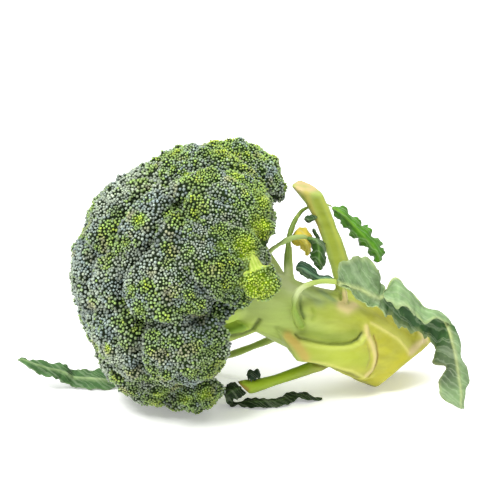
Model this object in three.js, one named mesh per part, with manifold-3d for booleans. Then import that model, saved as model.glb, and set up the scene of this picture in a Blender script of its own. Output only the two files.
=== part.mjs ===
// A head of broccoli, cut from its plant and laid on its side, in millimetres with +Z up.
// A thick stalk branches into two dozen florets that close up into a round crown. The crown faces -X and
// a little towards -Y, and rests on two of its florets. The cut foot of the stalk is the other support.
// Cut leaf stalks and small wilted leaves still grow from the stalk.

import * as THREE from 'three';
import { mergeVertices } from 'three/addons/utils/BufferGeometryUtils.js';
import Module from 'manifold-3d';

const wasm = await Module();
wasm.setup();

const at = (x, y, z) => new THREE.Vector3(x, y, z);
const TURN = Math.PI * 2;
const DEGREE = Math.PI / 180;

// Driving dimensions. The working frame has its origin on the surface below the middle of the crown.
const CROWN_RADIUS = 77;
const CROWN_MIDDLE = at(0, 11, 71.7);
const CROWN_AXIS = at(-0.913, -0.218, 0.345).normalize();
const CLEARANCE = 0.3; // between pieces that press against each other
const GROWN_TOGETHER = 1.2; // how far neighbouring florets run into each other

const colours = {
  buds: new THREE.MeshStandardMaterial({ color: 0x5c7a4c, roughness: 0.75, metalness: 0 }),
  stalk: new THREE.MeshStandardMaterial({ color: 0xb9cf83, roughness: 0.5, metalness: 0 }),
  leaf: new THREE.MeshStandardMaterial({ color: 0x5f8a63, roughness: 0.6, metalness: 0 }),
  wiltedLeaf: new THREE.MeshStandardMaterial({ color: 0xc9b84e, roughness: 0.65, metalness: 0 }),
};

const broccoli = new THREE.Group();

function addPiece(name, geometry, material) {
  const piece = new THREE.Mesh(geometry, material);
  piece.name = name;
  broccoli.add(piece);
  return piece;
}

// Geometry helpers.

// A closed skin over rings that all have the same number of points, with a fan over each end ring.
// Points run round each ring counter-clockwise as seen from the last ring. From ring point `turn` on,
// the quads are split along their other diagonal, so both faces of a thin blade have like triangles.
function skin(rings, turn = Infinity) {
  const size = rings[0].length;
  const points = rings.flat();
  const faces = [];
  for (let i = 0; i + 1 < rings.length; i++) {
    for (let j = 0; j < size; j++) {
      const [a, b] = [i * size + j, i * size + ((j + 1) % size)];
      const [c, d] = [a + size, b + size];
      if (j < turn) faces.push(a, b, d, a, d, c);
      else faces.push(a, b, c, b, d, c);
    }
  }
  const last = (rings.length - 1) * size;
  const ends = [rings[0], rings.at(-1)].map((ring) => middleOf(ring));
  points.push(...ends);
  for (let j = 0; j < size; j++) {
    const k = (j + 1) % size;
    faces.push(points.length - 2, k, j);
    faces.push(points.length - 1, last + j, last + k);
  }
  return geometryOf(points, faces);
}

function middleOf(points) {
  const sum = points.reduce((total, point) => total.add(point), at(0, 0, 0));
  return sum.divideScalar(points.length);
}

function geometryOf(points, faces) {
  const geometry = new THREE.BufferGeometry().setFromPoints(points);
  geometry.setIndex(faces);
  geometry.computeVertexNormals();
  return geometry;
}

// A geometry as a solid that can be joined or cut, and back again.
function solidOf(geometry) {
  const plain = geometry.clone();
  plain.deleteAttribute('normal');
  plain.deleteAttribute('uv');
  const merged = mergeVertices(plain, 1e-4);
  return new wasm.Manifold(
    new wasm.Mesh({
      numProp: 3,
      vertProperties: merged.attributes.position.array,
      triVerts: new Uint32Array(merged.index.array),
    }),
  );
}

// Pockets closed in where pieces were joined are filled: only the outer body is kept.
function geometryFrom(solid) {
  const bodies = solid.decompose().sort((one, other) => other.volume() - one.volume());
  const mesh = bodies[0].getMesh();
  const geometry = new THREE.BufferGeometry();
  geometry.setAttribute('position', new THREE.BufferAttribute(mesh.vertProperties, 3));
  geometry.setIndex(new THREE.BufferAttribute(mesh.triVerts, 1));
  return geometry;
}

// A slab far larger than the object, on the side of the plane that its normal points to.
function beyond(point, normal) {
  const size = 400;
  const slab = new THREE.BoxGeometry(size, size, size);
  slab.translate(0, 0, size / 2);
  slab.applyQuaternion(new THREE.Quaternion().setFromUnitVectors(at(0, 0, 1), normal));
  slab.translate(point.x, point.y, point.z);
  return solidOf(slab);
}

const belowSurface = beyond(at(0, 0, 0), at(0, 0, -1));

// Repeatable random numbers from 0 to 1.
function randomFrom(seed) {
  let state = seed;
  return () => {
    state = (state * 1664525 + 1013904223) % 4294967296;
    return state / 4294967296;
  };
}

// Gentle unevenness, from -1 to 1, of a grown surface at a point in space.
function unevenness(point, wavelength) {
  const p = point.clone().multiplyScalar(TURN / wavelength);
  const slow = Math.sin(p.x + 1.3) + Math.sin(p.y * 1.13 + 0.4) + Math.sin(p.z * 0.91 + 2.1);
  return slow / 3;
}

// Crown.

const FLORET_COUNT = 22;
const GOLDEN_ANGLE = 137.508 * DEGREE;
const OUTERMOST_FLORET = 94 * DEGREE; // from the crown's axis
// The rim is not level all round: it hangs less far over in front and further at the back.
const UNEVEN_RIM = [
  { turn: 100 * DEGREE, share: -0.19 },
  { turn: 205 * DEGREE, share: 0.12 },
];
// How far some florets stand out of the crown's round, or stay back.
const STANDS_OUT = { 2: 1, 5: -4, 6: -3, 14: 1, 18: 5, 19: 1.8, 22: -2.4 };
// Some florets have a tighter dome than the rest, as a share of the usual radius.
const TIGHTER = { 17: 0.84, 20: 0.9, 22: 0.8 };
// One floret has been pushed a little back from its place in the spiral.
const PUSHED_BACK = { 22: 9 * DEGREE };
const FIRST_FLORET_TURN = 21 * DEGREE; // where the spiral of florets starts, round the crown's axis
const FLORET_CURVE = [44, 30]; // radius of a floret's dome, in front and at the rim
const FLORET_DEPTH = [22, 25]; // from its dome down to its branch, in front and at the rim
const FREE_EDGE = 78 * DEGREE; // how far a dome curls round where it has no neighbour
const BRANCH_SEAT = 8.5; // radius of a floret's foot on its branch
const BUD_RINGS = 6; // rings of points from a dome's top to its edge
const BUD_HEIGHT = 2.1; // of the bud clusters above the dome
const BUD_DIP = 1.2; // of the gaps between them
const EDGE_DIP = 1.6; // of the groove between two florets
const FULL_RELIEF_CURVE = 24; // a dome of this radius or more has the full relief
const PRESSED = 1.2; // how much of the crown's lowest buds is flattened by its weight

const CROWN_DOWN = at(0, 0, -1).addScaledVector(CROWN_AXIS, CROWN_AXIS.z).normalize();
const CROWN_SIDE = CROWN_AXIS.clone().cross(CROWN_DOWN);

function crownDirection(polar, turn) {
  return CROWN_AXIS.clone()
    .multiplyScalar(Math.cos(polar))
    .addScaledVector(CROWN_DOWN, Math.sin(polar) * Math.cos(turn))
    .addScaledVector(CROWN_SIDE, Math.sin(polar) * Math.sin(turn));
}

// The florets follow the spiral by which the plant sets them, one golden angle after another.
function floretLayout() {
  const random = randomFrom(7);
  return Array.from({ length: FLORET_COUNT }, (_, i) => {
    const share = (i + 0.3) / FLORET_COUNT;
    const turn = FIRST_FLORET_TURN + i * GOLDEN_ANGLE - (PUSHED_BACK[i + 1] ?? 0);
    const level = Math.acos(1 - share * (1 - Math.cos(OUTERMOST_FLORET)));
    const stretch = (side) => side.share * Math.max(0, Math.cos(turn - side.turn)) ** 2;
    const polar = level * UNEVEN_RIM.reduce((total, side) => total + stretch(side), 1);
    const outwards = crownDirection(polar, turn);
    const rim = THREE.MathUtils.smoothstep(polar, 55 * DEGREE, 100 * DEGREE);
    const usual = THREE.MathUtils.lerp(...FLORET_CURVE, rim) * (0.95 + 0.1 * random());
    const curve = usual * (TIGHTER[i + 1] ?? 1);
    const reach = CROWN_RADIUS - curve + 2 * (random() - 0.5) + (STANDS_OUT[i + 1] ?? 0);
    return {
      polar,
      rim,
      outwards,
      curve,
      heart: CROWN_MIDDLE.clone().addScaledVector(outwards, reach),
      depth: THREE.MathUtils.lerp(...FLORET_DEPTH, rim),
      seat: BRANCH_SEAT,
    };
  });
}

// The planes where a floret's dome meets its neighbours' domes, each as a normal and an offset.
function wallsOf(floret, florets) {
  const walls = [];
  for (const other of florets) {
    if (other === floret) continue;
    const between = other.heart.clone().sub(floret.heart);
    const distance = between.length();
    const power = distance ** 2 + floret.curve ** 2 - other.curve ** 2;
    const normal = between.divideScalar(distance);
    const offset = normal.dot(floret.heart) + power / (2 * distance) + GROWN_TOGETHER;
    walls.push({ normal, offset });
  }
  walls.push({ normal: at(0, 0, -1), offset: PRESSED }); // the surface that the crown lies on
  return walls;
}

const insideWalls = (point, walls) => walls.every((wall) => wall.normal.dot(point) <= wall.offset);

function floretGeometry(floret, florets) {
  const walls = wallsOf(floret, florets);
  const { heart, outwards, curve } = floret;
  const across = CROWN_AXIS.clone().cross(outwards).normalize();
  const along = outwards.clone().cross(across);
  const onDome = (angle, turn, radius) =>
    heart
      .clone()
      .addScaledVector(outwards, radius * Math.cos(angle))
      .addScaledVector(across, radius * Math.sin(angle) * Math.cos(turn))
      .addScaledVector(along, radius * Math.sin(angle) * Math.sin(turn));

  // How far the dome runs in one direction before it meets a neighbour.
  function edgeAngle(turn, radius) {
    let [low, high] = [0, FREE_EDGE];
    for (let step = 0; step < 20; step++) {
      const middle = (low + high) / 2;
      if (insideWalls(onDome(middle, turn, radius), walls)) low = middle;
      else high = middle;
    }
    return low;
  }

  // A point that stands outside a wall is drawn back to it, towards the middle of the dome.
  function keptInside(point) {
    const kept = point.clone();
    for (const wall of walls) {
      const over = wall.normal.dot(kept) - wall.offset;
      if (over <= 0) continue;
      const inward = wall.offset - wall.normal.dot(heart);
      kept.lerp(heart, over / (over + inward));
    }
    return kept;
  }

  // Rings of points round the dome's top. Every third point of this triangular net is a bud cluster.
  const relief = Math.min(1, curve / FULL_RELIEF_CURVE);
  const points = [onDome(0, 0, curve + relief * BUD_HEIGHT)];
  for (let ring = 1; ring <= BUD_RINGS; ring++) {
    for (let step = 0; step < 6 * ring; step++) {
      const turn = (step / (6 * ring)) * TURN;
      const onEdge = ring === BUD_RINGS;
      const angle = edgeAngle(turn, onEdge ? curve - EDGE_DIP : curve) * (ring / BUD_RINGS);
      const isBud = (ring + (step % ring)) % 3 === 0;
      const lump = relief * (onEdge ? -EDGE_DIP : isBud ? BUD_HEIGHT : -BUD_DIP);
      const wave = unevenness(onDome(angle, turn, curve), 31);
      points.push(keptInside(onDome(angle, turn, curve + lump + (onEdge ? 0 : wave))));
    }
  }
  const start = (ring) => (ring === 0 ? 0 : 1 + 3 * ring * (ring - 1));
  const faces = [];
  for (let ring = 1; ring <= BUD_RINGS; ring++) {
    for (let side = 0; side < 6; side++) {
      for (let step = 0; step < ring; step++) {
        const outer = side * ring + step;
        const inner = side * (ring - 1) + step;
        const innerCount = Math.max(1, 6 * (ring - 1));
        const a = start(ring) + outer;
        const b = start(ring) + ((outer + 1) % (6 * ring));
        const c = start(ring - 1) + (inner % innerCount);
        const d = start(ring - 1) + ((inner + 1) % innerCount);
        faces.push(c, a, b);
        if (step < ring - 1) faces.push(c, b, d);
      }
    }
  }

  // Below its edge the floret narrows to its foot on the branch.
  const edge = start(BUD_RINGS);
  const foot = points.length;
  const footCount = 2 * BUD_RINGS;
  const footMiddle = heart.clone().addScaledVector(outwards, curve - floret.depth);
  for (let step = 0; step < footCount; step++) {
    const turn = ((step + 0.5) / footCount) * TURN;
    const rim = footMiddle.clone();
    rim.addScaledVector(across, floret.seat * Math.cos(turn));
    rim.addScaledVector(along, floret.seat * Math.sin(turn));
    points.push(rim);
  }
  points.push(footMiddle);
  for (let step = 0; step < footCount; step++) {
    const here = foot + step;
    const next = foot + ((step + 1) % footCount);
    const above = (k) => edge + ((3 * step + k) % (6 * BUD_RINGS));
    faces.push(above(0), here, above(1), above(1), here, above(2), above(2), here, above(3));
    faces.push(above(3), here, next);
    faces.push(here, points.length - 1, next);
  }
  return geometryOf(points, faces);
}

// Two small side florets hang out under the crown's rim in front, each on a short stem of its own.
const SIDE_FLORETS = [
  { heart: at(28, -51, 91), outwards: at(0.35, -0.25, -0.9).normalize(), curve: 11, depth: 25, seat: 5 },
  { heart: at(8.5, -9, 33.5), outwards: at(0.8, -0.35, -0.48).normalize(), curve: 8.8, depth: 17, seat: 4 },
];

// Stalk with its branches and leaf stalks.

const TRUNK_LINE = [at(8, 9, 70), at(30, 12, 60), at(52, 17, 48), at(76, 25, 38), at(103, 36, 21), at(128, 45, 6)];
const TRUNK_RADII = [13, 17.5, 19.5, 22, 22, 19];
const TRUNK_SIDES = 16;
const TRUNK_STEPS = 12;
const BRANCH_RADII = [6.5, 7.5]; // where it leaves the trunk and under its floret
const BRANCH_SIDES = 6;
const LOWEST_FORK = 54; // from the crown's middle down the trunk to where the rim's branches leave it
const FOOT_CUT = { point: at(98.5, 34.6, 0), normal: at(0.63, -0.3, -0.72).normalize() };

const sample = (values, share) => {
  const place = share * (values.length - 1);
  const i = Math.min(values.length - 2, Math.floor(place));
  return THREE.MathUtils.lerp(values[i], values[i + 1], place - i);
};

// Rings of points along a line. The shape says how far a ring reaches at a share of the line's length and
// at a turn round it. The side vector is where a ring starts.
function ringsAlong(line, steps, sides, side, shape) {
  const curve = new THREE.CatmullRomCurve3(line, false, 'centripetal');
  return Array.from({ length: steps + 1 }, (_, i) => {
    const share = i / steps;
    const middle = curve.getPoint(share);
    const ahead = curve.getTangent(share);
    const right = side.clone().addScaledVector(ahead, -side.dot(ahead)).normalize();
    const up = ahead.clone().cross(right);
    return Array.from({ length: sides }, (_, j) => {
      const turn = (j / sides) * TURN;
      const [x, y] = shape(share, turn);
      return middle.clone().addScaledVector(right, x).addScaledVector(up, y);
    });
  });
}

function trunkGeometry() {
  const shape = (share, turn) => {
    const ridges = 1 + 0.035 * Math.cos(5 * turn + 4 * share) + 0.02 * Math.cos(3 * turn - 2);
    const radius = sample(TRUNK_RADII, share) * ridges;
    return [radius * Math.cos(turn), radius * Math.sin(turn)];
  };
  return skin(ringsAlong(TRUNK_LINE, TRUNK_STEPS, TRUNK_SIDES, at(0, 0, 1), shape));
}

function branchGeometry(floret) {
  const foot = floret.heart.clone();
  foot.addScaledVector(floret.outwards, floret.curve - floret.depth - CLEARANCE);
  const fork = THREE.MathUtils.mapLinear(floret.polar, 0, OUTERMOST_FLORET, 0, LOWEST_FORK);
  const root = CROWN_MIDDLE.clone().addScaledVector(CROWN_AXIS, -fork);
  const knee = foot.clone().addScaledVector(floret.outwards, -12);
  const side = CROWN_AXIS.clone().cross(floret.outwards).normalize();
  return stemGeometry([root, knee, foot], BRANCH_RADII, { steps: 2, sides: BRANCH_SIDES, side });
}

// A round or flat stem. Its radii are spread evenly over the points of its line. A second list of radii
// makes it flat: the first then reaches towards the side vector and the second across it.
function stemGeometry(line, radii, { steps, sides = 7, side = at(0, 0, 1), thin = radii }) {
  const shape = (share, turn) => [
    sample(radii, share) * Math.cos(turn),
    sample(thin, share) * Math.sin(turn),
  ];
  return skin(ringsAlong(line, steps, sides, side, shape));
}

// Cut off on the side of a plane that its normal points to.
const trimmed = (geometry, point, normal) => solidOf(geometry).subtract(beyond(point, normal.normalize()));

const points = (...list) => list.map((numbers) => at(...numbers));

// The cut leaf stalk that stands up from the stalk, grooved in front, with a wider dried end.
function uprightLeafStalk() {
  const line = points(
    [84, 26, 42],
    [80.5, 26, 55],
    [77.5, 28, 66],
    [74.5, 29, 77],
    [71, 30, 88],
    [67, 31, 98],
    [62.5, 31, 108.5],
    [58.5, 30, 116],
    [54, 30, 125],
  );
  const radii = [9.5, 7.2, 6, 5.5, 5.4, 5.4, 5.5, 6, 8.2];
  const shape = (share, turn) => {
    const groove = 1 - 0.2 * Math.exp(-(((turn - Math.PI * 1.5) / 0.5) ** 2));
    const radius = sample(radii, share) * groove;
    return [radius * Math.cos(turn), radius * 0.86 * Math.sin(turn)];
  };
  return trimmed(skin(ringsAlong(line, 14, 12, at(1, 0, 0), shape)), at(57, 30, 120), at(0.3, -0.3, 0.9));
}

// The cut leaf stalk that clasps the front of the stalk and widens to a sheath at its root.
function claspingLeafStalk() {
  const line = points(
    [34, -3, 41],
    [49.8, -2, 36.5],
    [59.9, 0, 33.8],
    [68.4, 2, 30.6],
    [77, 4.5, 28.4],
    [84.5, 8.5, 27.4],
    [91, 13.5, 27],
    [98, 21, 26],
  );
  const tall = [9, 8.4, 7.2, 7.4, 9.6, 13.6, 16, 13];
  const thin = [3.6, 3.6, 3.7, 3.9, 4.3, 4.6, 4.6, 4.2];
  const geometry = stemGeometry(line, tall, { steps: 12, sides: 12, thin });
  return trimmed(geometry, at(44.5, -4, 38), at(-0.78, -0.38, -0.5));
}

// Whole leaf stalks: each one's blade is a piece of its own.
const LEAF_STALKS = {
  draped: {
    line: points([55, 6, 46], [50.5, -5, 52], [47.2, -8, 62], [49.5, -6, 70], [56.5, -4, 74], [64.8, -2, 75],
      [71.3, -2, 74.5]),
    radii: [3, 2.6, 2.1, 2, 1.9, 1.8, 1.8],
  },
  back: {
    line: points([45, 16, 64], [43.9, 18, 75.6], [44.6, 20, 86.7], [45.6, 24, 92.7], [48.1, 28, 99.4],
      [52.2, 33, 105.4], [57.2, 36, 107.8], [63.6, 38, 108.5], [69.4, 40, 107.9], [71.2, 40, 106.4]),
    radii: [1.9, 1.6, 1.4, 1.4, 1.4, 1.3, 1.2, 1.1, 1, 1],
  },
  smallArch: {
    line: points([31, 2, 72], [30.6, -2, 85], [34.6, -1.5, 91.8], [40, 0, 95.5], [45.5, 1, 98], [50.5, 3, 98.9],
      [55.2, 4.8, 97.8]),
    radii: [1.7, 1.3, 1.2, 1.1, 1.1, 1, 0.9],
  },
  yellowed: {
    line: points([47.5, 15, 64], [47, 19, 76], [46.8, 23, 86], [46.2, 27.4, 90.8]),
    radii: [1.7, 1.4, 1.2, 0.9],
  },
  curled: {
    line: points([77, 15, 54], [77, 11, 62], [75.5, 8, 69], [73.5, 7, 71.8], [71.4, 7, 72.4]),
    radii: [1.9, 1.5, 1.2, 1, 0.9],
  },
  floorLeft: {
    line: points([54, 24, 38], [44, 33, 33], [31, 46, 23], [12, 56, 12], [-10, 61, 6], [-31, 48, 5.4],
      [-47, 32.6, 7]),
    radii: [3.4, 2.8, 2.4, 2.2, 2.1, 2, 1.9],
  },
  floorFront: {
    line: points([72, 28, 22], [65.4, 25, 17.5], [55.3, 20, 15.4], [46.5, 15, 14.1], [32.2, 9, 11.3],
      [22.5, 5.2, 10.4], [13, 1.4, 10.7]),
    radii: [6, 4.2, 3.3, 3.2, 3.7, 4.3, 4.4],
    trim: [at(19.2, 3.6, 11.2), at(-0.7, -0.15, -0.7)],
  },
};

function leafStalkSolid({ line, radii, trim }) {
  const steps = Math.round(1.6 * (line.length - 1));
  const geometry = stemGeometry(line, radii, { steps, sides: radii[0] > 5 ? 9 : 6 });
  return trim ? trimmed(geometry, ...trim) : solidOf(geometry);
}

function stalkSolid(florets) {
  const trunk = [trunkGeometry(), ...florets.map(branchGeometry)].map(solidOf);
  const grown = wasm.Manifold.union(trunk).subtract(beyond(FOOT_CUT.point, FOOT_CUT.normal));
  const tornRim = points([104, 32, 26], [113, 30, 26], [119.5, 27, 31], [122, 25, 39.5]);
  const whole = wasm.Manifold.union([
    grown,
    solidOf(stemGeometry(tornRim, [7, 6.5, 4.5, 1], { steps: 4, sides: 7 })),
    uprightLeafStalk(),
    claspingLeafStalk(),
    ...Object.values(LEAF_STALKS).map(leafStalkSolid),
  ]);
  return whole.subtract(belowSurface);
}

// Leaf blades.

const HALF_BLADE = 0.42; // half a blade's thickness

// Each row of three points crosses a blade from its left edge over its rib or fold to its right edge.
const BLADES = {
  leaf_draped: {
    rows: [
      [[72.3, -2, 72.9], [72.2, -2, 74.4], [72.2, -2, 76]],
      [[77, -1, 70.7], [77.1, 1, 72.1], [72.2, -5, 82.7]],
      [[83.3, 1, 67.2], [83.9, 3, 69.5], [79.3, -3, 88.9]],
      [[89, 2, 63.5], [90.3, 5, 65.4], [89.8, 4, 84.7]],
      [[94.8, 4, 60.5], [96.1, 7, 62.5], [96.6, 8, 68]],
      [[99.9, 9, 54.6], [100.3, 6, 66.9], [98.2, -6, 64.2]],
      [[104.8, 11, 50.8], [103.8, 4, 74.1], [103.9, -10, 60.9]],
      [[110.6, 11, 46.5], [109.4, 3, 68.9], [109.2, -11, 60]],
      [[116, 10, 44.5], [115, 2, 63.5], [114.8, -11, 56]],
      [[121.3, 7, 43.5], [120, 1, 58], [120.5, -10, 52.3]],
      [[124.8, 4, 41.2], [125.5, 0, 56.6], [127.7, -9, 54.2]],
      [[126, 2, 33.7], [131.7, -4, 52], [134.5, -8, 50.5]],
      [[124.8, 0, 27.3], [134.7, -9, 43.3], [139.3, -8, 41.2]],
      [[132.3, -7, 25.7], [137, -11, 33.5], [142.3, -9, 30.5]],
      [[127.3, -9, 17.6], [138.9, -12, 22.2], [143.7, -10, 21.5]],
      [[129.2, -9, 10.5], [140.4, -12, 13.4], [142.9, -10, 12.1]],
      [[135, -9, 6.3], [140.7, -11, 7.7], [142.6, -10, 5.5]],
      [[139.4, -10, 3.8], [141, -10, 3.5], [142.7, -10, 3.2]],
    ],
    steps: 32,
    rib: 1.5,
    ruffle: 1.3,
    waves: 7,
  },
  leaf_back: {
    rows: [
      [[71.5, 40, 104.8], [72, 40, 105.6], [72.5, 40, 106.5]],
      [[73.7, 43, 99], [75.5, 36, 104.5], [77, 43, 106.4]],
      [[78.3, 41, 94.8], [80.6, 34, 99.5], [82.8, 42, 101]],
      [[82.3, 40, 89.7], [85.1, 33, 95], [90.3, 41, 96.6]],
      [[86.3, 39, 85.2], [89.7, 32, 90], [94.9, 40, 90.3]],
      [[91.5, 38, 80.7], [94.4, 32, 84.7], [100.3, 40, 84.3]],
      [[94.4, 37, 76.8], [96.8, 32, 80], [100.9, 39, 79.2]],
      [[96.5, 34, 75.3], [97.5, 33, 76.1], [98.9, 35, 76.2]],
    ],
    steps: 22,
    rib: 1,
    ruffle: 1.2,
    waves: 6,
  },
  leaf_small_arch: {
    rows: [
      [[55.6, 6, 96.2], [55.8, 5, 97.3], [56.1, 6, 97.9]],
      [[57.4, 9, 93.1], [59.9, 4, 96.4], [63.4, 8, 95.7]],
      [[56.9, 10, 88.3], [61.5, 2, 91], [65.7, 8, 89.4]],
      [[56.4, 10, 84.8], [61.6, 2, 85.9], [65.7, 8, 84.2]],
      [[59.6, 7, 81.6], [62.3, 4, 81.9], [64.6, 6, 80.7]],
      [[61.8, 5, 79.3], [62.3, 5, 79], [62.9, 5, 79.3]],
    ],
    steps: 12,
    rib: 0.8,
    ruffle: 0.5,
    waves: 3,
  },
  leaf_yellowed: {
    rows: [
      [[46.9, 28, 90.6], [47, 28, 91.3], [47.1, 28, 92]],
      [[48.7, 30, 86.7], [50.2, 26, 92.7], [50.9, 30, 97]],
      [[52.1, 31, 84.7], [53.8, 24, 92.1], [56, 30, 97.2]],
      [[53.9, 31, 83.2], [55.8, 24, 89.2], [59.7, 29, 91.9]],
      [[55.6, 30, 81.1], [56.5, 27, 84.3], [58.9, 29, 86.1]],
      [[56.4, 29, 80.8], [56.9, 29, 81.4], [57.5, 29, 82]],
    ],
    steps: 12,
    rib: 0.8,
    ruffle: 0.4,
    waves: 3,
    material: colours.wiltedLeaf,
  },
  leaf_curled: {
    rows: [
      [[70.9, 7, 73.2], [70.8, 7, 72.3], [70.9, 7, 71.5]],
      [[67.8, 11, 74.3], [66.4, 5, 74.6], [66.6, 8, 72.6]],
      [[62.9, 12, 74.9], [61.9, 3, 75.2], [61.6, 8, 72]],
      [[58.4, 12, 79.2], [56.9, 2, 78.3], [56.7, 8, 72.9]],
      [[55.1, 12, 82.3], [53, 2, 80.9], [52.8, 8, 75.2]],
      [[51.7, 11, 82.3], [50.7, 4, 80.9], [50.6, 8, 76.9]],
      [[49.4, 8, 80.9], [49.2, 7, 80], [49.2, 8, 78.6]],
    ],
    steps: 12,
    rib: 0.8,
    ruffle: 0.4,
    waves: 3,
  },
  leaf_floor_left: {
    rows: [
      [[-49.1, 33.7, 8.2], [-49, 33, 7], [-48.9, 32.2, 5.8]],
      [[-57.9, 41.3, 8.8], [-57.3, 33.3, 3.6], [-56.8, 27.3, 0.9]],
      [[-66.7, 40.7, 9], [-65.9, 31.7, 4.9], [-65.3, 25.7, 0.9]],
      [[-74.5, 41.5, 8.1], [-73.6, 32.5, 5.2], [-73, 26.5, 0.9]],
      [[-80.3, 40.4, 8.5], [-80, 32.4, 5.8], [-81.2, 27.4, 2.4]],
      [[-83.4, 37.7, 11.7], [-83.6, 29.7, 9.3], [-86.7, 25.7, 5.5]],
      [[-87.9, 36.7, 13.6], [-88, 28.7, 11.5], [-89.1, 22.7, 8.5]],
      [[-94.7, 35.7, 14.6], [-93.7, 27.7, 13.1], [-93, 21.7, 9.5]],
      [[-100.2, 33.7, 15.9], [-99.2, 26.7, 15.6], [-98.1, 21.7, 11.6]],
      [[-105.1, 31.7, 17.5], [-104.4, 26.7, 17.5], [-103.3, 22.7, 14.6]],
      [[-108.8, 29.7, 18.9], [-108.4, 26.7, 19], [-107.5, 24.7, 17.3]],
      [[-110.7, 26.7, 19.1], [-110.7, 25.7, 19.2], [-110.3, 24.7, 19.2]],
    ],
    steps: 22,
    rib: 1.5,
    ruffle: 0.8,
    waves: 5,
  },
  leaf_floor_front: {
    rows: [
      [[15.2, 5, 13.7], [18.1, 3, 11], [21.6, 4, 7.4]],
      [[12.3, 6, 12.6], [15.2, -1, 11], [19.7, 2, 5.4]],
      [[10, 7, 11.3], [12.4, -2, 10.2], [17.5, 0, 5.2]],
      [[8.9, 9, 7.8], [10.5, 1, 6.7], [15, 1, 3.9]],
      [[11.7, 5.9, 1.8], [11.8, 3.9, 0.9], [13.5, -0.1, 0.9]],
      [[16.8, 7.3, 1.2], [17.4, 3.3, 1.6], [17.5, -0.7, 0.9]],
      [[22.5, 5.6, 3.4], [22.5, 1.6, 2.8], [22.5, -2.4, 0.9]],
      [[28.2, 4.5, 4.7], [29.3, -0.5, 3.6], [29.8, -3.5, 0.9]],
      [[33.9, 5, 3], [36.1, 2, 2.6], [36.6, -2, 0.9]],
      [[40.2, 8.6, 3.4], [42.3, 4.6, 2.9], [43.4, -0.4, 0.9]],
      [[45.5, 15, 2.8], [47, 10, 2], [48.1, 6, 0.9]],
      [[50.7, 17, 3.4], [51.6, 11, 3.4], [51.5, 6, 3.2]],
      [[55.8, 15, 3.1], [56.2, 10, 3.2], [56, 5, 3]],
      [[60.4, 14.4, 1.2], [60.9, 12.4, 0.9], [60.7, 8.4, 0.9]],
      [[64.3, 13.3, 0.9], [65, 12.3, 0.9], [64.5, 10.3, 0.9]],
    ],
    steps: 28,
    rib: 0.9,
    ruffle: 0.7,
    waves: 7,
  },
};

// A thin blade with a raised rib. Its edges wave up and down and are cut into shallow teeth.
function bladeGeometry({ rows, steps, rib, ruffle, waves }) {
  const lines = [0, 1, 2].map((side) => {
    const line = points(...rows.map((row) => row[side]));
    return new THREE.CatmullRomCurve3(line, false, 'centripetal');
  });
  const columns = [-1, -0.62, -0.2, 0, 0.2, 0.62, 1];
  const surface = (share, across) => {
    const [left, middle, right] = lines.map((line) => line.getPoint(THREE.MathUtils.clamp(share, 0, 1)));
    const inner = Math.sin(Math.PI * THREE.MathUtils.clamp(share, 0, 1)) ** 0.5;
    const cut = 1 - 0.14 * inner * (0.5 + 0.5 * Math.cos(waves * 2 * TURN * share + across));
    const u = across * (Math.abs(across) > 0.3 ? cut : 1);
    const point = middle.clone();
    point.addScaledVector(right, (u + u * u) / 2);
    point.addScaledVector(left, (u * u - u) / 2);
    return point.addScaledVector(middle, -u * u);
  };
  const rings = Array.from({ length: steps + 1 }, (_, i) => {
    const share = i / steps;
    const inner = Math.sin(Math.PI * share) ** 0.5;
    const upper = [];
    const lower = [];
    for (const across of columns) {
      const alongIt = surface(share + 0.004, across).sub(surface(share - 0.004, across));
      const acrossIt = surface(share, across + 0.02).sub(surface(share, across - 0.02));
      const normal = alongIt.cross(acrossIt).normalize();
      const wave = Math.sin(waves * TURN * share + 1.7 * Math.sign(across)) * across * across;
      const point = surface(share, across).addScaledVector(normal, ruffle * inner * wave);
      const width = acrossIt.length() / 0.04;
      const hump = Math.sqrt(Math.max(0, (rib * (1 - 0.6 * share)) ** 2 - (across * width) ** 2));
      const half = Math.max(HALF_BLADE, hump);
      point.z = Math.max(point.z, half + 0.08);
      upper.push(point.clone().addScaledVector(normal, half));
      lower.push(point.clone().addScaledVector(normal, -half));
    }
    return [...upper.reverse(), ...lower];
  });
  return skin(rings, columns.length);
}

// Assembly.

const florets = floretLayout();
const domes = florets.map((floret) => solidOf(floretGeometry(floret, florets)));
const sideDomes = SIDE_FLORETS.map((floret) => solidOf(floretGeometry(floret, [])));
const crown = wasm.Manifold.union([...domes, ...sideDomes]).simplify(0.25);
addPiece('crown', geometryFrom(crown.subtract(belowSurface)), colours.buds);
addPiece('stalk', geometryFrom(stalkSolid(florets).simplify(0.03)), colours.stalk);
for (const [name, blade] of Object.entries(BLADES)) {
  addPiece(name, bladeGeometry(blade), blade.material ?? colours.leaf);
}

broccoli.updateMatrixWorld(true);
const extent = new THREE.Box3().setFromObject(broccoli);
const middle = extent.getCenter(at(0, 0, 0));
broccoli.position.set(-middle.x, -middle.y, -extent.min.z);

export default broccoli;
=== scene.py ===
# A head of broccoli lying on its side: budded florets, a cut stalk and a few wilted leaves.
# Everything is in metres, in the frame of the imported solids.
import math

import bmesh
import bpy
import numpy as np
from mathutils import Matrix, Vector, kdtree, noise
from mathutils.bvhtree import BVHTree


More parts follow.
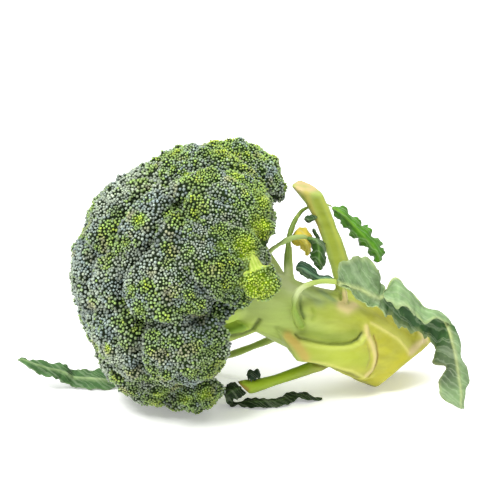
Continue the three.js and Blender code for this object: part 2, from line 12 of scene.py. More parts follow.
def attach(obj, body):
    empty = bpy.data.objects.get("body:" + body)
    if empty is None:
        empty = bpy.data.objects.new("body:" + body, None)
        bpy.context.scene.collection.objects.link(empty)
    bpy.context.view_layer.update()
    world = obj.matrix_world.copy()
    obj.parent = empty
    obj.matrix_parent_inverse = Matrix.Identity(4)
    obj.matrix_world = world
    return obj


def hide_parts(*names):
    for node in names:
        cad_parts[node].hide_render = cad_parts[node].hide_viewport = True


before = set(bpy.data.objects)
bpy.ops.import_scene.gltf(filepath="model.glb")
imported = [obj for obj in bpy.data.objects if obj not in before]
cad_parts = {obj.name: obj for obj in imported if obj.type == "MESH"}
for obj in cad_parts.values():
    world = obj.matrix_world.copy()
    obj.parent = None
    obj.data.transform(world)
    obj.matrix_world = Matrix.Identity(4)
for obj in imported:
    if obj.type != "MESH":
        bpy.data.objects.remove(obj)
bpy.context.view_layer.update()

# Camera. It looks a little down on the head, as the photograph does, in a frame of 500 by 500 pixels.
# Marks on the crown and the stalk are traced from it: a pixel's line of sight meets the real surface.
MM = 0.001
BELOW_CROWN = Vector((-16.95, -12.11, 0)) * MM  # the spot on the surface below the crown's middle
EYE = BELOW_CROWN + Vector((23.65, -733.6, 288.6)) * MM
LOOKS_DOWN = math.radians(15)
LENS = 100  # this and the next are in millimetres, as cameras are sold
SENSOR = 36
FRAME_PIXELS = 500
TRACE_REACH = 3  # in widths of a traced line; further from it nothing changes

camera_data = bpy.data.cameras.new("camera")
camera_data.lens = LENS
camera_data.sensor_width = SENSOR
camera = bpy.data.objects.new("camera", camera_data)
camera.location = EYE
camera.rotation_euler = (math.pi / 2 - LOOKS_DOWN, 0, 0)
bpy.context.scene.collection.objects.link(camera)
bpy.context.scene.camera = camera


def sight(pixel):
    """The direction from the camera through a pixel."""
    across, down = ((place - FRAME_PIXELS / 2) * SENSOR / LENS / FRAME_PIXELS for place in pixel)
    ahead = Vector((0, math.cos(LOOKS_DOWN), -math.sin(LOOKS_DOWN)))
    up = Vector((0, math.sin(LOOKS_DOWN), math.cos(LOOKS_DOWN)))
    return (ahead + Vector((across, 0, 0)) - up * down).normalized()


def surface_of(mesh):
    """A mesh as a surface that a line of sight can meet."""
    return BVHTree.FromPolygons([v.co for v in mesh.vertices], [f.vertices for f in mesh.polygons])


def traced(surface, pixels):
    """Places on a surface, about a pixel apart, along a line over pixels. One pixel gives one place."""
    places = []
    for start, end in zip(pixels, pixels[1:] or pixels):
        steps = max(1, math.ceil(math.dist(start, end)))
        for k in range(steps + 1):
            pixel = [a + (b - a) * k / steps for a, b in zip(start, end)]
            hit = surface.ray_cast(EYE, sight(pixel))[0]
            if hit:
                places.append(hit)
    return np.array(places)


def nearness(points, places, width):
    """How near points are to traced places: 1 on them, falling off over a width."""
    near = np.zeros(len(points))
    reach = TRACE_REACH * width
    close = np.all((points > places.min(0) - reach) & (points < places.max(0) + reach), axis=1)
    squares = ((points[close, None] - places[None]) ** 2).sum(2).min(1)
    near[close] = np.exp(-squares / width**2)
    return near


# Florets. Two dozen fleshy domes have grown shoulder to shoulder into a round crown, in the plant's own
# spiral. Under the buds the flesh is dark green, deepened to near-black with painted shade in the gaps
# between buds, and the undersides are pale and ribbed with stemlets.
CROWN_RADIUS = 77 * MM
CROWN_MIDDLE = BELOW_CROWN + Vector((0, 11, 71.7)) * MM
CROWN_AXIS = Vector((-0.913, -0.218, 0.345)).normalized()
CROWN_DOWN = (Vector((0, 0, -1)) + CROWN_AXIS * CROWN_AXIS.z).normalized()
CROWN_SIDE = CROWN_AXIS.cross(CROWN_DOWN)
FLORET_COUNT = 22
GOLDEN_ANGLE = math.radians(137.508)
FIRST_FLORET_TURN = math.radians(21)
OUTERMOST_FLORET = math.radians(94)
SMALLER_FROM = math.radians(55)  # from here to the next angle the domes get smaller
SMALLEST_FROM = math.radians(100)
DOME_RADII = (44, 30)  # of the largest and the smallest domes, in millimetres
UNEVEN_RIM = ((math.radians(100), -0.19), (math.radians(205), 0.12))
UNEVEN_REACH = 2  # by how many millimetres the domes stand out differently
# Single florets, counted from the crown's middle: how many millimetres they stand out, the share of their
# radius that is left, and how far they turn back.
STANDS_OUT = {2: 1, 5: -4, 6: -3, 14: 1, 18: 5, 19: 1.8, 22: -2.4}
TIGHTER = {17: 0.84, 20: 0.9, 22: 0.8}
PUSHED_BACK = {22: math.radians(9)}
# The two side florets: the middle, direction and radius of each dome.
SIDE_FLORETS = (((28, -51, 91), (0.35, -0.25, -0.9), 11), ((8.5, -9, 33.5), (0.8, -0.35, -0.48), 8.8))
SIDE_FLORET_POLAR = math.radians(110)
BUDDED_EDGE = math.radians(84)  # how far the buds curl round a dome
FURTHER_IN_HOLLOWS = 1.2  # radians by which they go on down between the domes in front
FURTHER_ON_SIDE = 0.5
RIM_FLORETS = (1.42, 1.2)  # domes beyond the first angle keep bare undersides, within the second none do
OUTER_SURFACE = 0.2  # how far outwards, from -1 to 1, a surface looks at least where it has buds
BARE_SIDE = -0.35  # surfaces that lie further towards the stalk than this have none in their hollows
RIM_FADE = (0.75, 1.5)  # the angles from the crown's axis between which its rim begins
FLESH_VOXEL = 1.3 * MM
FLESH_SMOOTHING = 9
FLESH_SINK = 1.0 * MM  # the flesh lies this far under the tips of the buds
GROOVE_DEPTH = 3.2 * MM
GROOVE_WIDTH = 2.6 * MM
GROOVE_CHANGES = 24 * MM
CLUSTER_SPACING = 12 * MM
CLUSTER_CROWDING = 1.15
CLUSTER_SHIFT = 0.16  # as a share of the spacing
CLUSTER_RELIEF = 1.6 * MM
SEAM_WIDTH = 1.3 * MM
HUMP_SIZE = 13 * MM
HUMP_RELIEF = 1.3 * MM
KNOB_SIZE = 5 * MM
KNOB_RELIEF = 1.1 * MM
KNOB_SEED = 2.9
# Deep clefts between florets: the pixels that each runs over, its half width and its depth.
CLEFTS = (
    ([(190, 187), (177, 199), (164, 212), (155, 230), (146, 246)], 2.4 * MM, 4.0 * MM),
    ([(146, 246), (133, 258), (122, 270), (116, 284), (116, 298), (122, 312), (134, 324)],
     2.2 * MM, 4.4 * MM),
    ([(134, 324), (137, 340), (136, 356), (137, 371)], 2.4 * MM, 5.5 * MM),
    ([(203, 153), (211, 157)], 2.2 * MM, 5.0 * MM),
    ([(106, 336), (112, 342)], 2.0 * MM, 4.0 * MM),
    ([(222, 313), (212, 318), (203, 322), (196, 322)], 3.2 * MM, 7.0 * MM),
    ([(196, 322), (180, 312), (168, 296)], 1.8 * MM, 2.6 * MM),
    ([(205, 188), (222, 200), (236, 204)], 1.8 * MM, 2.6 * MM),
)
STEMLETS = 11
STEMLET_DEPTH = 1.1 * MM
SIDE_FLORET_SWELL = 1.3 * MM
SIDE_STALK_SLIMMING = 0.42
HIDDEN_DEPTH = 8 * MM  # the domes' inner sides are moved away from the clefts by this
# Patches of young buds: the pixel at the middle of each, its radius, and how yellow its buds are.
YOUNG_PATCHES = (
    ((183, 172), 5 * MM, 1.0), ((172, 166), 4 * MM, 0.7), ((139, 220), 5 * MM, 0.75),
    ((105, 246), 5 * MM, 0.4), ((264, 199), 10 * MM, 0.75), ((262, 228), 11 * MM, 0.95),
    ((250, 246), 11 * MM, 1.0), ((222, 246), 5 * MM, 0.65), ((187, 252), 5 * MM, 0.5),
    ((130, 290), 5 * MM, 0.6), ((139, 312), 5 * MM, 0.65), ((107, 349), 3 * MM, 1.0),
    ((160, 398), 8 * MM, 0.75), ((185, 401), 8 * MM, 0.7), ((207, 396), 8 * MM, 0.8),
    ((241, 290), 6 * MM, 0.8), ((240, 176), 5 * MM, 0.6), ((221, 300), 6 * MM, 0.45),
    ((232, 362), 7 * MM, 0.85), ((258, 290), 15 * MM, 0.95), ((168, 262), 5 * MM, 0.45),
    ((131, 195), 5 * MM, 0.35), ((212, 152), 9 * MM, 0.5), ((245, 152), 8 * MM, 0.55),
    ((92, 372), 6 * MM, 0.5), ((155, 345), 6 * MM, 0.4),
)


def eased(value, low, high):
    """0 below low, 1 above high, with a soft start and stop between them. Low may be above high."""
    share = np.clip((value - low) / (high - low), 0, 1)
    return share * share * (3 - 2 * share)


def shade(red, green, blue):
    """A colour named by its screen values, from 0 to 255, as the light that it stands for."""
    return np.array([((c / 255 + 0.055) / 1.055) ** 2.4 if c > 10 else c / 3294.6 for c in (red, green, blue)])


def mixed(first, second, share):
    """Colours between two others, by a share for each point."""
    share = np.asarray(share)[..., None]
    return first * (1 - share) + second * share


def fading(distance, width):
    """1 where the distance is nothing, falling off softly over a width."""
    return np.exp(-((distance / width) ** 2))


def unit(rows):
    """Directions, each with a length of 1."""
    return rows / np.linalg.norm(rows, axis=1)[:, None]


def spiral_draws(seed):
    """The repeatable draws by which the florets differ."""
    state = seed
    while True:
        state = (state * 1664525 + 1013904223) % 2**32
        yield state / 2**32


def grown_florets():
    """The middle, direction, radius and polar angle of each floret's dome, and of the side florets' last."""
    draws = spiral_draws(7)
    largest, smallest = DOME_RADII
    hearts, ways, curves, polars = [], [], [], []
    for i in range(FLORET_COUNT):
        share = (i + 0.3) / FLORET_COUNT
        turn = FIRST_FLORET_TURN + i * GOLDEN_ANGLE - PUSHED_BACK.get(i + 1, 0)
        level = math.acos(1 - share * (1 - math.cos(OUTERMOST_FLORET)))
        stretch = sum(part * max(0, math.cos(turn - side)) ** 2 for side, part in UNEVEN_RIM)
        polar = level * (1 + stretch)
        across = CROWN_DOWN * math.cos(turn) + CROWN_SIDE * math.sin(turn)
        way = CROWN_AXIS * math.cos(polar) + across * math.sin(polar)
        rim = float(eased(polar, SMALLER_FROM, SMALLEST_FROM))
        radius = largest - (largest - smallest) * rim
        curve = radius * (0.95 + 0.1 * next(draws)) * TIGHTER.get(i + 1, 1) * MM
        stands_out = UNEVEN_REACH * (next(draws) - 0.5) + STANDS_OUT.get(i + 1, 0)
        reach = CROWN_RADIUS - curve + stands_out * MM
        hearts.append(CROWN_MIDDLE + way * reach)
        ways.append(way)
        curves.append(curve)
        polars.append(polar)
    for heart, way, curve in SIDE_FLORETS:
        hearts.append(BELOW_CROWN + Vector(heart) * MM)
        ways.append(Vector(way).normalized())
        curves.append(curve * MM)
        polars.append(SIDE_FLORET_POLAR)
    return np.array(hearts), np.array(ways), np.array(curves), np.array(polars)


HEARTS, WAYS, CURVES, POLARS = grown_florets()
# Between the florets in front the buds go on down into every hollow; at the rim they stop at the edge.
EDGES = BUDDED_EDGE + FURTHER_IN_HOLLOWS * eased(POLARS, *RIM_FLORETS)
EDGES[FLORET_COUNT:] = BUDDED_EDGE + FURTHER_ON_SIDE


def outwards(points):
    """The directions from the crown's middle to points."""
    return unit(points - np.array(CROWN_MIDDLE))


def floret_places(points, normals):
    """For each point: its floret, the distance to the groove beside it, how far past the buds' edge it is,
    and how far its surface looks away from the crown's middle, from -1 to 1."""
    squares = ((points[:, None, :] - HEARTS[None]) ** 2).sum(2) - CURVES[None] ** 2
    order = np.argsort(squares, axis=1)[:, :2]
    rows = np.arange(len(points))
    own, beside = order[:, 0], order[:, 1]
    apart = np.linalg.norm(HEARTS[own] - HEARTS[beside], axis=1)
    groove = (squares[rows, beside] - squares[rows, own]) / (2 * apart)
    out = unit(points - HEARTS[own])
    past = np.arccos(np.clip((out * WAYS[own]).sum(1), -1, 1)) - EDGES[own]
    from_middle = outwards(points)
    outward = (from_middle * normals).sum(1)
    bare = np.maximum(OUTER_SURFACE - outward, BARE_SIDE - from_middle @ np.array(CROWN_AXIS))
    past = np.where(own < FLORET_COUNT, np.minimum(past, bare), past)
    return own, groove, past, outward


def rimward(points):
    """How near points of the crown are to its rim, from 0 to 1."""
    level = ((points - np.array(CROWN_MIDDLE)) @ np.array(CROWN_AXIS)) / CROWN_RADIUS
    return eased(np.arccos(np.clip(level, -1, 1)), *RIM_FADE)


def young_patches(points):
    """How yellow the young buds are at points of the crown, from 0 to 1."""
    yellowness = np.zeros(len(points))
    for pixel, size, yellow in YOUNG_PATCHES:
        middle = traced(crown_surface, [pixel])
        if len(middle):
            yellowness = np.maximum(yellowness, yellow * nearness(points, middle, size))
    return yellowness


def new_piece(name, mesh):
    """Puts a finished mesh in the scene as a piece of the object."""
    mesh.shade_smooth()
    piece = bpy.data.objects.new(name, mesh)
    bpy.context.scene.collection.objects.link(piece)
    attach(piece, "root")
    return piece


def melted(node, voxel, rounds):
    """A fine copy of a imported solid's mesh, its facets melted into one another."""
    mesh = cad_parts[node].data.copy()
    mesh.materials.clear()
    work = bmesh.new()
    work.from_mesh(mesh)
    bmesh.ops.remove_doubles(work, verts=work.verts, dist=0.001 * MM)
    work.to_mesh(mesh)
    work.free()
    holder = bpy.data.objects.new("melting", mesh)
    bpy.context.scene.collection.objects.link(holder)
    remesh = holder.modifiers.new("Voxels", "REMESH")
    remesh.mode = "VOXEL"
    remesh.voxel_size = voxel
    graph = bpy.context.evaluated_depsgraph_get()
    fine = bpy.data.meshes.new_from_object(holder.evaluated_get(graph))
    bpy.data.objects.remove(holder)
    work = bmesh.new()
    work.from_mesh(fine)
    for _ in range(rounds):
        bmesh.ops.smooth_vert(
            work, verts=work.verts, factor=0.5, use_axis_x=True, use_axis_y=True, use_axis_z=True
        )
    work.to_mesh(fine)
    work.free()
    return fine


def places_of(mesh):
    """The points of a mesh and their normals, as rows of numbers."""
    count = len(mesh.vertices)
    points, normals = np.zeros(count * 3, np.float32), np.zeros(count * 3, np.float32)
    mesh.vertices.foreach_get("co", points)
    mesh.vertex_normals.foreach_get("vector", normals)
    return points.reshape(-1, 3).astype(float), normals.reshape(-1, 3).astype(float)


def put_places(mesh, points):
    """Moves the points of a mesh. None goes through the surface that the object lies on."""
    points[:, 2] = np.maximum(points[:, 2], 0)
    mesh.vertices.foreach_set("co", points.astype(np.float32).ravel())
    mesh.update()


def put_colour(mesh, colours, name="tint"):
    """Keeps a colour for each point of a mesh."""
    layer = mesh.color_attributes.new(name, "FLOAT_COLOR", "POINT")
    rows = np.ones((len(mesh.vertices), 4), np.float32)
    rows[:, :3] = colours
    layer.data.foreach_set("color", rows.ravel())


def patchy(points, size, seed=0.0):
    """Soft patches, from -1 to 1, of about a size."""
    shift = Vector((seed, 2 * seed, -seed))
    return np.array([noise.noise(Vector(p) / size + shift) for p in points])


class Signal:
    """A value or colour on its way through a material. Arithmetic on it adds Math nodes."""

    def __init__(self, socket):
        self.socket = socket

    def node(self, kind, settings, inputs, output=0):
        """Adds a node of a type, with its settings, and with values or signals for its inputs."""
        tree = self.socket.node.id_data
        made = tree.nodes.new(kind)
        for name, value in settings.items():
            setattr(made, name, value)
        for name, value in inputs.items():
            if isinstance(value, Signal):
                tree.links.new(value.socket, made.inputs[name])
            else:
                made.inputs[name].default_value = value
        return Signal(made.outputs[output])

    def maths(self, operation, first, second):
        """Adds a Math node on two values or signals."""
        return self.node("ShaderNodeMath", {"operation": operation}, {0: first, 1: second})

    def __add__(self, other):
        return self.maths("ADD", self, other)

    def __sub__(self, other):
        return self.maths("SUBTRACT", self, other)

    def __rsub__(self, other):
        return self.maths("SUBTRACT", other, self)

    def __mul__(self, other):
        return self.maths("MULTIPLY", self, other)

    __radd__ = __add__
    __rmul__ = __mul__

    def noise(self, scale, detail, stretch=(1, 1, 1)):
        """Fine unevenness from 0 to 1, over a place in space."""
        place = self.node("ShaderNodeMapping", {}, {"Vector": self, "Scale": stretch})
        return self.node("ShaderNodeTexNoise", {}, {"Vector": place, "Scale": scale, "Detail": detail})

    def tinted(self, colour, share):
        """This colour, mixed with another by a share."""
        first, second, result = 6, 7, 2  # the Mix node's sockets for colours
        inputs = {"Factor": share, first: self, second: (*colour, 1)}
        return self.node("ShaderNodeMix", {"data_type": "RGBA"}, inputs, result)


def material_of(name, roughness, layer="tint"):
    """A new material, with its shader, the place on the object and the colour kept on the points."""
    material = bpy.data.materials.new(name)
    material.use_nodes = True
    nodes = material.node_tree.nodes
    shader = nodes["Principled BSDF"]
    shader.inputs["Roughness"].default_value = roughness
    place = Signal(nodes.new("ShaderNodeTexCoord").outputs["Object"])
    tint = place.node("ShaderNodeVertexColor", {"layer_name": layer}, {})
    return material, shader, place, tint


def into(shader, name, signal):
    """Leads a signal into one of the shader's sockets."""
    shader.id_data.links.new(signal.socket, shader.inputs[name])


# Painted shade: the flesh between buds is its own dark green deepened to near-black.
DARK_FLESH_AND_SHADE = shade(14, 26, 10)
RIM_FLESH = shade(36, 60, 12)
YOUNG_FLESH = shade(104, 134, 10)
PALE_FLESH = shade(184, 198, 100)
GREEN_FLESH = shade(140, 170, 50)


def tree_of(places):
    """Places in a tree, by which those near a point are found."""
    tree = kdtree.KDTree(len(places))
    for k, place in enumerate(places):
        tree.insert(place, k)
    tree.balance()
    return tree


def cluster_middles():
    """The middles of the bud clusters, in a loose spiral over each floret's dome."""
    middles = []
    shifts = np.random.default_rng(3)
    for heart, way, curve in zip(HEARTS, WAYS, CURVES):
        way = Vector(way)
        side = way.orthogonal().normalized()
        other = way.cross(side)
        cap = 1 - math.cos(BUDDED_EDGE)
        count = max(6, round(2 * math.pi * curve**2 * cap / CLUSTER_SPACING**2 * CLUSTER_CROWDING))
        for k in range(count):
            polar = math.acos(1 - (k + 0.2) / count * cap)
            turn = k * GOLDEN_ANGLE
            lean = side * math.cos(turn) + other * math.sin(turn)
            middle = Vector(heart) + (way * math.cos(polar) + lean * math.sin(polar)) * curve
            middles.append(middle + Vector(shifts.normal(0, CLUSTER_SHIFT * CLUSTER_SPACING, 3)))
    return tree_of(middles)


def cluster_places(points):
    """For each point: its cluster, the distance to that cluster's middle, and to the seam with the next."""
    found = [clusters.find_n(point, 2) for point in points]
    first = np.array([pair[0][2] for pair in found])
    second = np.array([pair[1][2] for pair in found])
    return np.array([pair[0][1] for pair in found]), first, (second - first) / 2


clusters = cluster_middles()
flesh_mesh = melted("crown", FLESH_VOXEL, FLESH_SMOOTHING)
points, normals = places_of(flesh_mesh)
crown_surface = surface_of(flesh_mesh)
cleft_traces = [(traced(crown_surface, pixels), width, depth) for pixels, width, depth in CLEFTS]

# Where it is budded the flesh is sunk, deepest in grooves and clefts; below the buds it is ribbed.
own, groove, past, outward = floret_places(points, normals)
seam_gap = cluster_places(points)[2]
budded = eased(past, 0.08, -0.06)
uneven = 0.8 + 1.1 * patchy(points, GROOVE_CHANGES)
sunk = FLESH_SINK + GROOVE_DEPTH * fading(groove, GROOVE_WIDTH) * np.clip(uneven, 0.1, 2)
sunk += CLUSTER_RELIEF * (fading(seam_gap, SEAM_WIDTH) - 0.4)
sunk += HUMP_RELIEF * patchy(points, HUMP_SIZE, 7.7) + KNOB_RELIEF * patchy(points, KNOB_SIZE, KNOB_SEED)
clefts = np.zeros(len(points))
for places, width, depth in cleft_traces:
    clefts = np.maximum(clefts, depth * nearness(points, places, width))
sunk += clefts
out = points - HEARTS[own]
side = np.cross(WAYS[own], CROWN_AXIS)
spun = np.arctan2((out * side).sum(1), (out * np.cross(WAYS[own], side)).sum(1))
stemlets = np.sin(spun * STEMLETS + 3 * patchy(points, 14 * MM, 3.1)) * 0.5 + 0.5
inward = sunk * budded + STEMLET_DEPTH * stemlets * (1 - budded)
on_side = own >= FLORET_COUNT
inward[on_side & (budded > 0)] -= SIDE_FLORET_SWELL

# The side florets' stalks are slimmed, and the inner walls behind the clefts move towards the middle.
off_axis = out - WAYS[own] * (out * WAYS[own]).sum(1)[:, None]
slimmer = SIDE_STALK_SLIMMING * on_side * eased(past, -0.05, 0.3)
from_middle = outwards(points)
in_front = eased(from_middle @ np.array(CROWN_AXIS), -0.1, 0.15)
hidden = ~on_side * eased(outward, -0.2, -0.6) * in_front
moved = -normals * inward[:, None] * (1 - hidden[:, None])
moved -= off_axis * slimmer[:, None] + from_middle * (HIDDEN_DEPTH * hidden[:, None])
put_places(flesh_mesh, points + moved)
under_flesh = mixed(PALE_FLESH, GREEN_FLESH, stemlets * 0.8)
# Painted shade: between the buds the flesh is near-black, lighter at the rim and green in young patches.
between_buds = mixed(DARK_FLESH_AND_SHADE, RIM_FLESH, 0.5 * rimward(points))
between_buds = mixed(between_buds, YOUNG_FLESH, eased(young_patches(points), 0.35, 1.0))
put_colour(flesh_mesh, mixed(under_flesh, between_buds, budded))

flesh_material, shader, place, tint = material_of("floret flesh", 0.55)
mottle = place.noise(420, 4)
into(shader, "Base Color", tint.tinted(shade(96, 122, 48), mottle * 0.06))
shader.inputs["Specular IOR Level"].default_value = 0.1
flesh_mesh.materials.append(flesh_material)
florets = new_piece("florets", flesh_mesh)
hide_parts("crown")

# Buds. Thousands of closed flower buds cover the florets, each a bead with a waxy bloom. They grow in
# small clusters: the youngest in the middle are fine and yellow-green, the older round them blue-green.
SPOTS_TRIED = 230000
BUD_SPACING = 1.33 * MM
CLOSEST_BUDS = 0.95 * MM
WIDEST_BUDS = 2.5 * MM
CLEFT_WIDENING = 1.7  # the buds turn darker over this many half widths of a cleft
IN_CLEFT = 0.3  # from this nearness on, buds cover a cleft whatever else holds
BUD_FILL = 0.7  # a bud's radius as a share of its spacing
BUD_LENGTH = 1.12  # this and the next three are shares of a bud's radius
BUD_TAPER = 0.2
BUD_RISE = 0.42
BUD_CLEARANCE = 1.05
BUD_TILT = 0.16
OLD_BUD = shade(178, 191, 166)
BLUE_BUD = shade(140, 160, 160)
GREEN_BUD = shade(144, 178, 82)
YOUNG_BUD = shade(180, 202, 34)
OLIVE_BUD = shade(178, 172, 108)
BUD_SHADOW = shade(10, 20, 7)
# Heights for painted shade on the low rim buds and painted light on the top buds.
SHADED_RIM_HEIGHTS = (130 * MM, 110 * MM)  # below the second the buds at the rim are darker
LIT_TOP_HEIGHTS = (120 * MM, 140 * MM)  # above the second the buds are paler
PIECES_OF_BUDS = 4

rng = np.random.default_rng(11)


def scattered(mesh, count):
    """Random places all over a mesh, with their normals."""
    mesh.calc_loop_triangles()
    corners = np.zeros(len(mesh.loop_triangles) * 3, np.int32)
    mesh.loop_triangles.foreach_get("vertices", corners)
    corners = corners.reshape(-1, 3)
    points, normals = places_of(mesh)
    a, b, c = (points[corners[:, k]] for k in range(3))
    areas = np.linalg.norm(np.cross(b - a, c - a), axis=1)
    pick = rng.choice(len(corners), count, p=areas / areas.sum())
    u, v = rng.random((2, count))
    fold = u + v > 1
    u[fold], v[fold] = 1 - u[fold], 1 - v[fold]
    weights = np.stack([1 - u - v, u, v], 1)
    spots = sum(points[corners[pick, k]] * weights[:, k : k + 1] for k in range(3))
    leans = sum(normals[corners[pick, k]] * weights[:, k : k + 1] for k in range(3))
    return spots, unit(leans)


def thinned(spots, spacing):
    """Which of the places stay when each keeps the others its own spacing away."""
    tree = tree_of(spots)
    free = np.ones(len(spots), bool)
    kept = []
    for k, spot in enumerate(spots):
        if free[k]:
            kept.append(k)
            for _, near, _ in tree.find_range(spot, spacing[k]):
                free[near] = False
    return np.array(kept)


def one_bud():
    """A closed bud: an egg of a few faces that stands on its thick end."""
    work = bmesh.new()
    bmesh.ops.create_icosphere(work, subdivisions=1, radius=1)
    for vert in work.verts:
        slim = 1 - BUD_TAPER * max(0, vert.co.z)
        vert.co.x *= slim
        vert.co.y *= slim
        vert.co.z *= BUD_LENGTH
    corners = np.array([vert.co for vert in work.verts])
    faces = np.array([[vert.index for vert in face.verts] for face in work.faces])
    work.free()
    return corners, faces


# Buds stand where the flesh is budded and looks outwards, and in the clefts.
spots, leans = scattered(flesh_mesh, SPOTS_TRIED)
own, groove, past, _ = floret_places(spots, leans)
facing = ((spots - HEARTS[own]) * leans).sum(1) > -0.2 * CURVES[own]
cleft = np.zeros(len(spots))
for places, width, _ in cleft_traces:
    cleft = np.maximum(cleft, nearness(spots, places, CLEFT_WIDENING * width))
stays = (past < rng.normal(0, 0.03, len(spots))) & facing | (cleft > IN_CLEFT)
spots, leans, own, groove, cleft = (rows[stays] for rows in (spots, leans, own, groove, cleft))

# They are closest in the middle of a cluster, at the rim, in young patches and on the side florets.
cluster, middle_gap, seam_gap = cluster_places(spots)
aged = np.clip(middle_gap / (0.55 * CLUSTER_SPACING), 0, 1.3)
outer = rimward(spots)
patch = young_patches(spots)
patches = patchy(spots, 15 * MM, 5.3)
spacing = BUD_SPACING * (0.78 + 0.34 * aged) * (1 + 0.3 * patches)
spacing *= 1 + 0.2 * fading(groove, 3.2 * MM) + 0.12 * cleft - 0.2 * outer
spacing *= (1 - 0.3 * patch) * np.where(own < FLORET_COUNT, 1, 0.82)
spacing = np.clip(spacing, CLOSEST_BUDS, WIDEST_BUDS)
kept = thinned(spots, spacing)
spots, leans, own, groove, aged, outer = (rows[kept] for rows in (spots, leans, own, groove, aged, outer))
spacing, cleft, patch, cluster, seam_gap = (rows[kept] for rows in (spacing, cleft, patch, cluster, seam_gap))
bud_count = len(spots)
radius = spacing * BUD_FILL * rng.uniform(0.86, 1.14, bud_count)

# A bud's colour follows its age, its cluster and broad patches. Painted shade darkens it in every hollow
# and on the low rim, and painted light makes the top buds paler.
cluster_mood = np.random.default_rng(5).normal(0, 1, cluster.max() + 1)[cluster]
youth = 0.12 + 0.3 * eased(aged, 0.8, 0.1) + 0.12 * cluster_mood + 0.42 * patchy(spots, 20 * MM, 9.7)
youth += 0.28 * outer - 0.3 * cleft - 0.2 * fading(groove, 3 * MM)
youth = np.clip(np.maximum(youth, patch * 1.05) + rng.normal(0, 0.09, bud_count), 0, 1)
blueness = 0.35 + 1.1 * patchy(spots, 18 * MM, 1.9) + 0.5 * cleft + rng.normal(0, 0.25, bud_count)
bud_colour = mixed(OLD_BUD, BLUE_BUD, np.clip(blueness, 0, 1))
bud_colour = mixed(bud_colour, GREEN_BUD, eased(youth, 0.12, 0.5))
bud_colour = mixed(bud_colour, OLIVE_BUD, 0.6 * eased(patchy(spots, 9 * MM, 3.3), 0.25, 0.6))
bud_colour = mixed(bud_colour, YOUNG_BUD, eased(youth, 0.5, 0.95))
bud_colour *= rng.uniform(0.58, 1.3, (bud_count, 1))
# Painted shade on the rim buds low down, and painted light on the top buds.
bud_colour *= 1 - 0.22 * (outer * (1 - patch) * eased(spots[:, 2], *SHADED_RIM_HEIGHTS))[:, None]
bud_colour *= 1 + 0.16 * eased(spots[:, 2], *LIT_TOP_HEIGHTS)[:, None]
# Painted shade: buds in clefts, grooves, cluster seams and the sunk spots among the knobs are darkened.
hollow = 0.42 * cleft + 0.26 * fading(groove, GROOVE_WIDTH) + 0.26 * fading(seam_gap, 1.1 * MM)
hollow += 0.28 * np.clip(patchy(spots, KNOB_SIZE, KNOB_SEED) + 0.1, -0.4, 1)
bud_colour *= np.clip(1.12 - hollow, 0.25, 1.3)[:, None]

# Each stands on its thick end, a little tilted and turned at random, half sunk in the flesh.
tilt = unit(leans + rng.normal(0, BUD_TILT, (bud_count, 3)))
across = unit(np.cross(tilt, rng.normal(0, 1, (bud_count, 3))))
along = np.cross(tilt, across)
spots = spots + leans * (radius * BUD_RISE)[:, None]
spots[:, 2] = np.maximum(spots[:, 2], radius * BUD_CLEARANCE)

bud_points, bud_faces = one_bud()
# Painted light and shade on each bud: dark at its base, in its full colour at the tip.
painted_light_share = eased(bud_points[:, 2], -0.45, 1.0)
bud_material, shader, place, tint = material_of("waxy buds", 0.36)
bloom = place.noise(900, 2)
into(shader, "Base Color", tint.tinted(shade(186, 200, 176), bloom * 0.1))
into(shader, "Roughness", bloom * 0.3 + 0.24)

# The buds of neighbouring florets make one piece, so that each piece has about a quarter of them.
floret_sizes = np.bincount(own, minlength=len(CURVES))
share_of_floret = np.cumsum(floret_sizes) / bud_count
group_of_floret = np.minimum((share_of_floret * PIECES_OF_BUDS - 1e-9).astype(int), PIECES_OF_BUDS - 1)
for group in range(PIECES_OF_BUDS):
    rows = np.flatnonzero(group_of_floret[own] == group)
    size = radius[rows, None, None]
    corners = spots[rows, None, :] + size * (
        bud_points[None, :, 0:1] * across[rows, None, :]
        + bud_points[None, :, 1:2] * along[rows, None, :]
        + bud_points[None, :, 2:3] * tilt[rows, None, :]
    )
    faces = bud_faces[None] + (np.arange(len(rows)) * len(bud_points))[:, None, None]
    mesh = bpy.data.meshes.new(f"buds_{group + 1}")
    mesh.from_pydata(corners.reshape(-1, 3), [], faces.reshape(-1, 3))
    put_places(mesh, corners.reshape(-1, 3))
    # Each bud is painted from shade at its base, greener in young patches, up to its own colour at the tip.
    low = mixed(BUD_SHADOW, YOUNG_FLESH * 0.8, eased(patch[rows], 0.35, 1.0))
    lit = mixed(low[:, None], bud_colour[rows, None, :], np.broadcast_to(painted_light_share, (len(rows), len(painted_light_share))))
    put_colour(mesh, lit.reshape(-1, 3))
    mesh.materials.append(bud_material)
    buds = new_piece(f"buds_{group + 1}", mesh)
    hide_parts("crown")

# Stalk. One pale woody stem with its branches and cut leaf stalks, smooth and a little ribbed lengthwise.
# It yellows towards its foot, and its cut and torn faces have dried to a tan.
STALK_VOXEL = 0.9 * MM
STALK_SMOOTHING = 4
STALK_THINNING = 0.74  # the share of its faces that stays
NECK = shade(164, 187, 90)
FOOT = shade(180, 176, 34)
RELIEF = 0.6 * MM  # how high the material's own relief stands
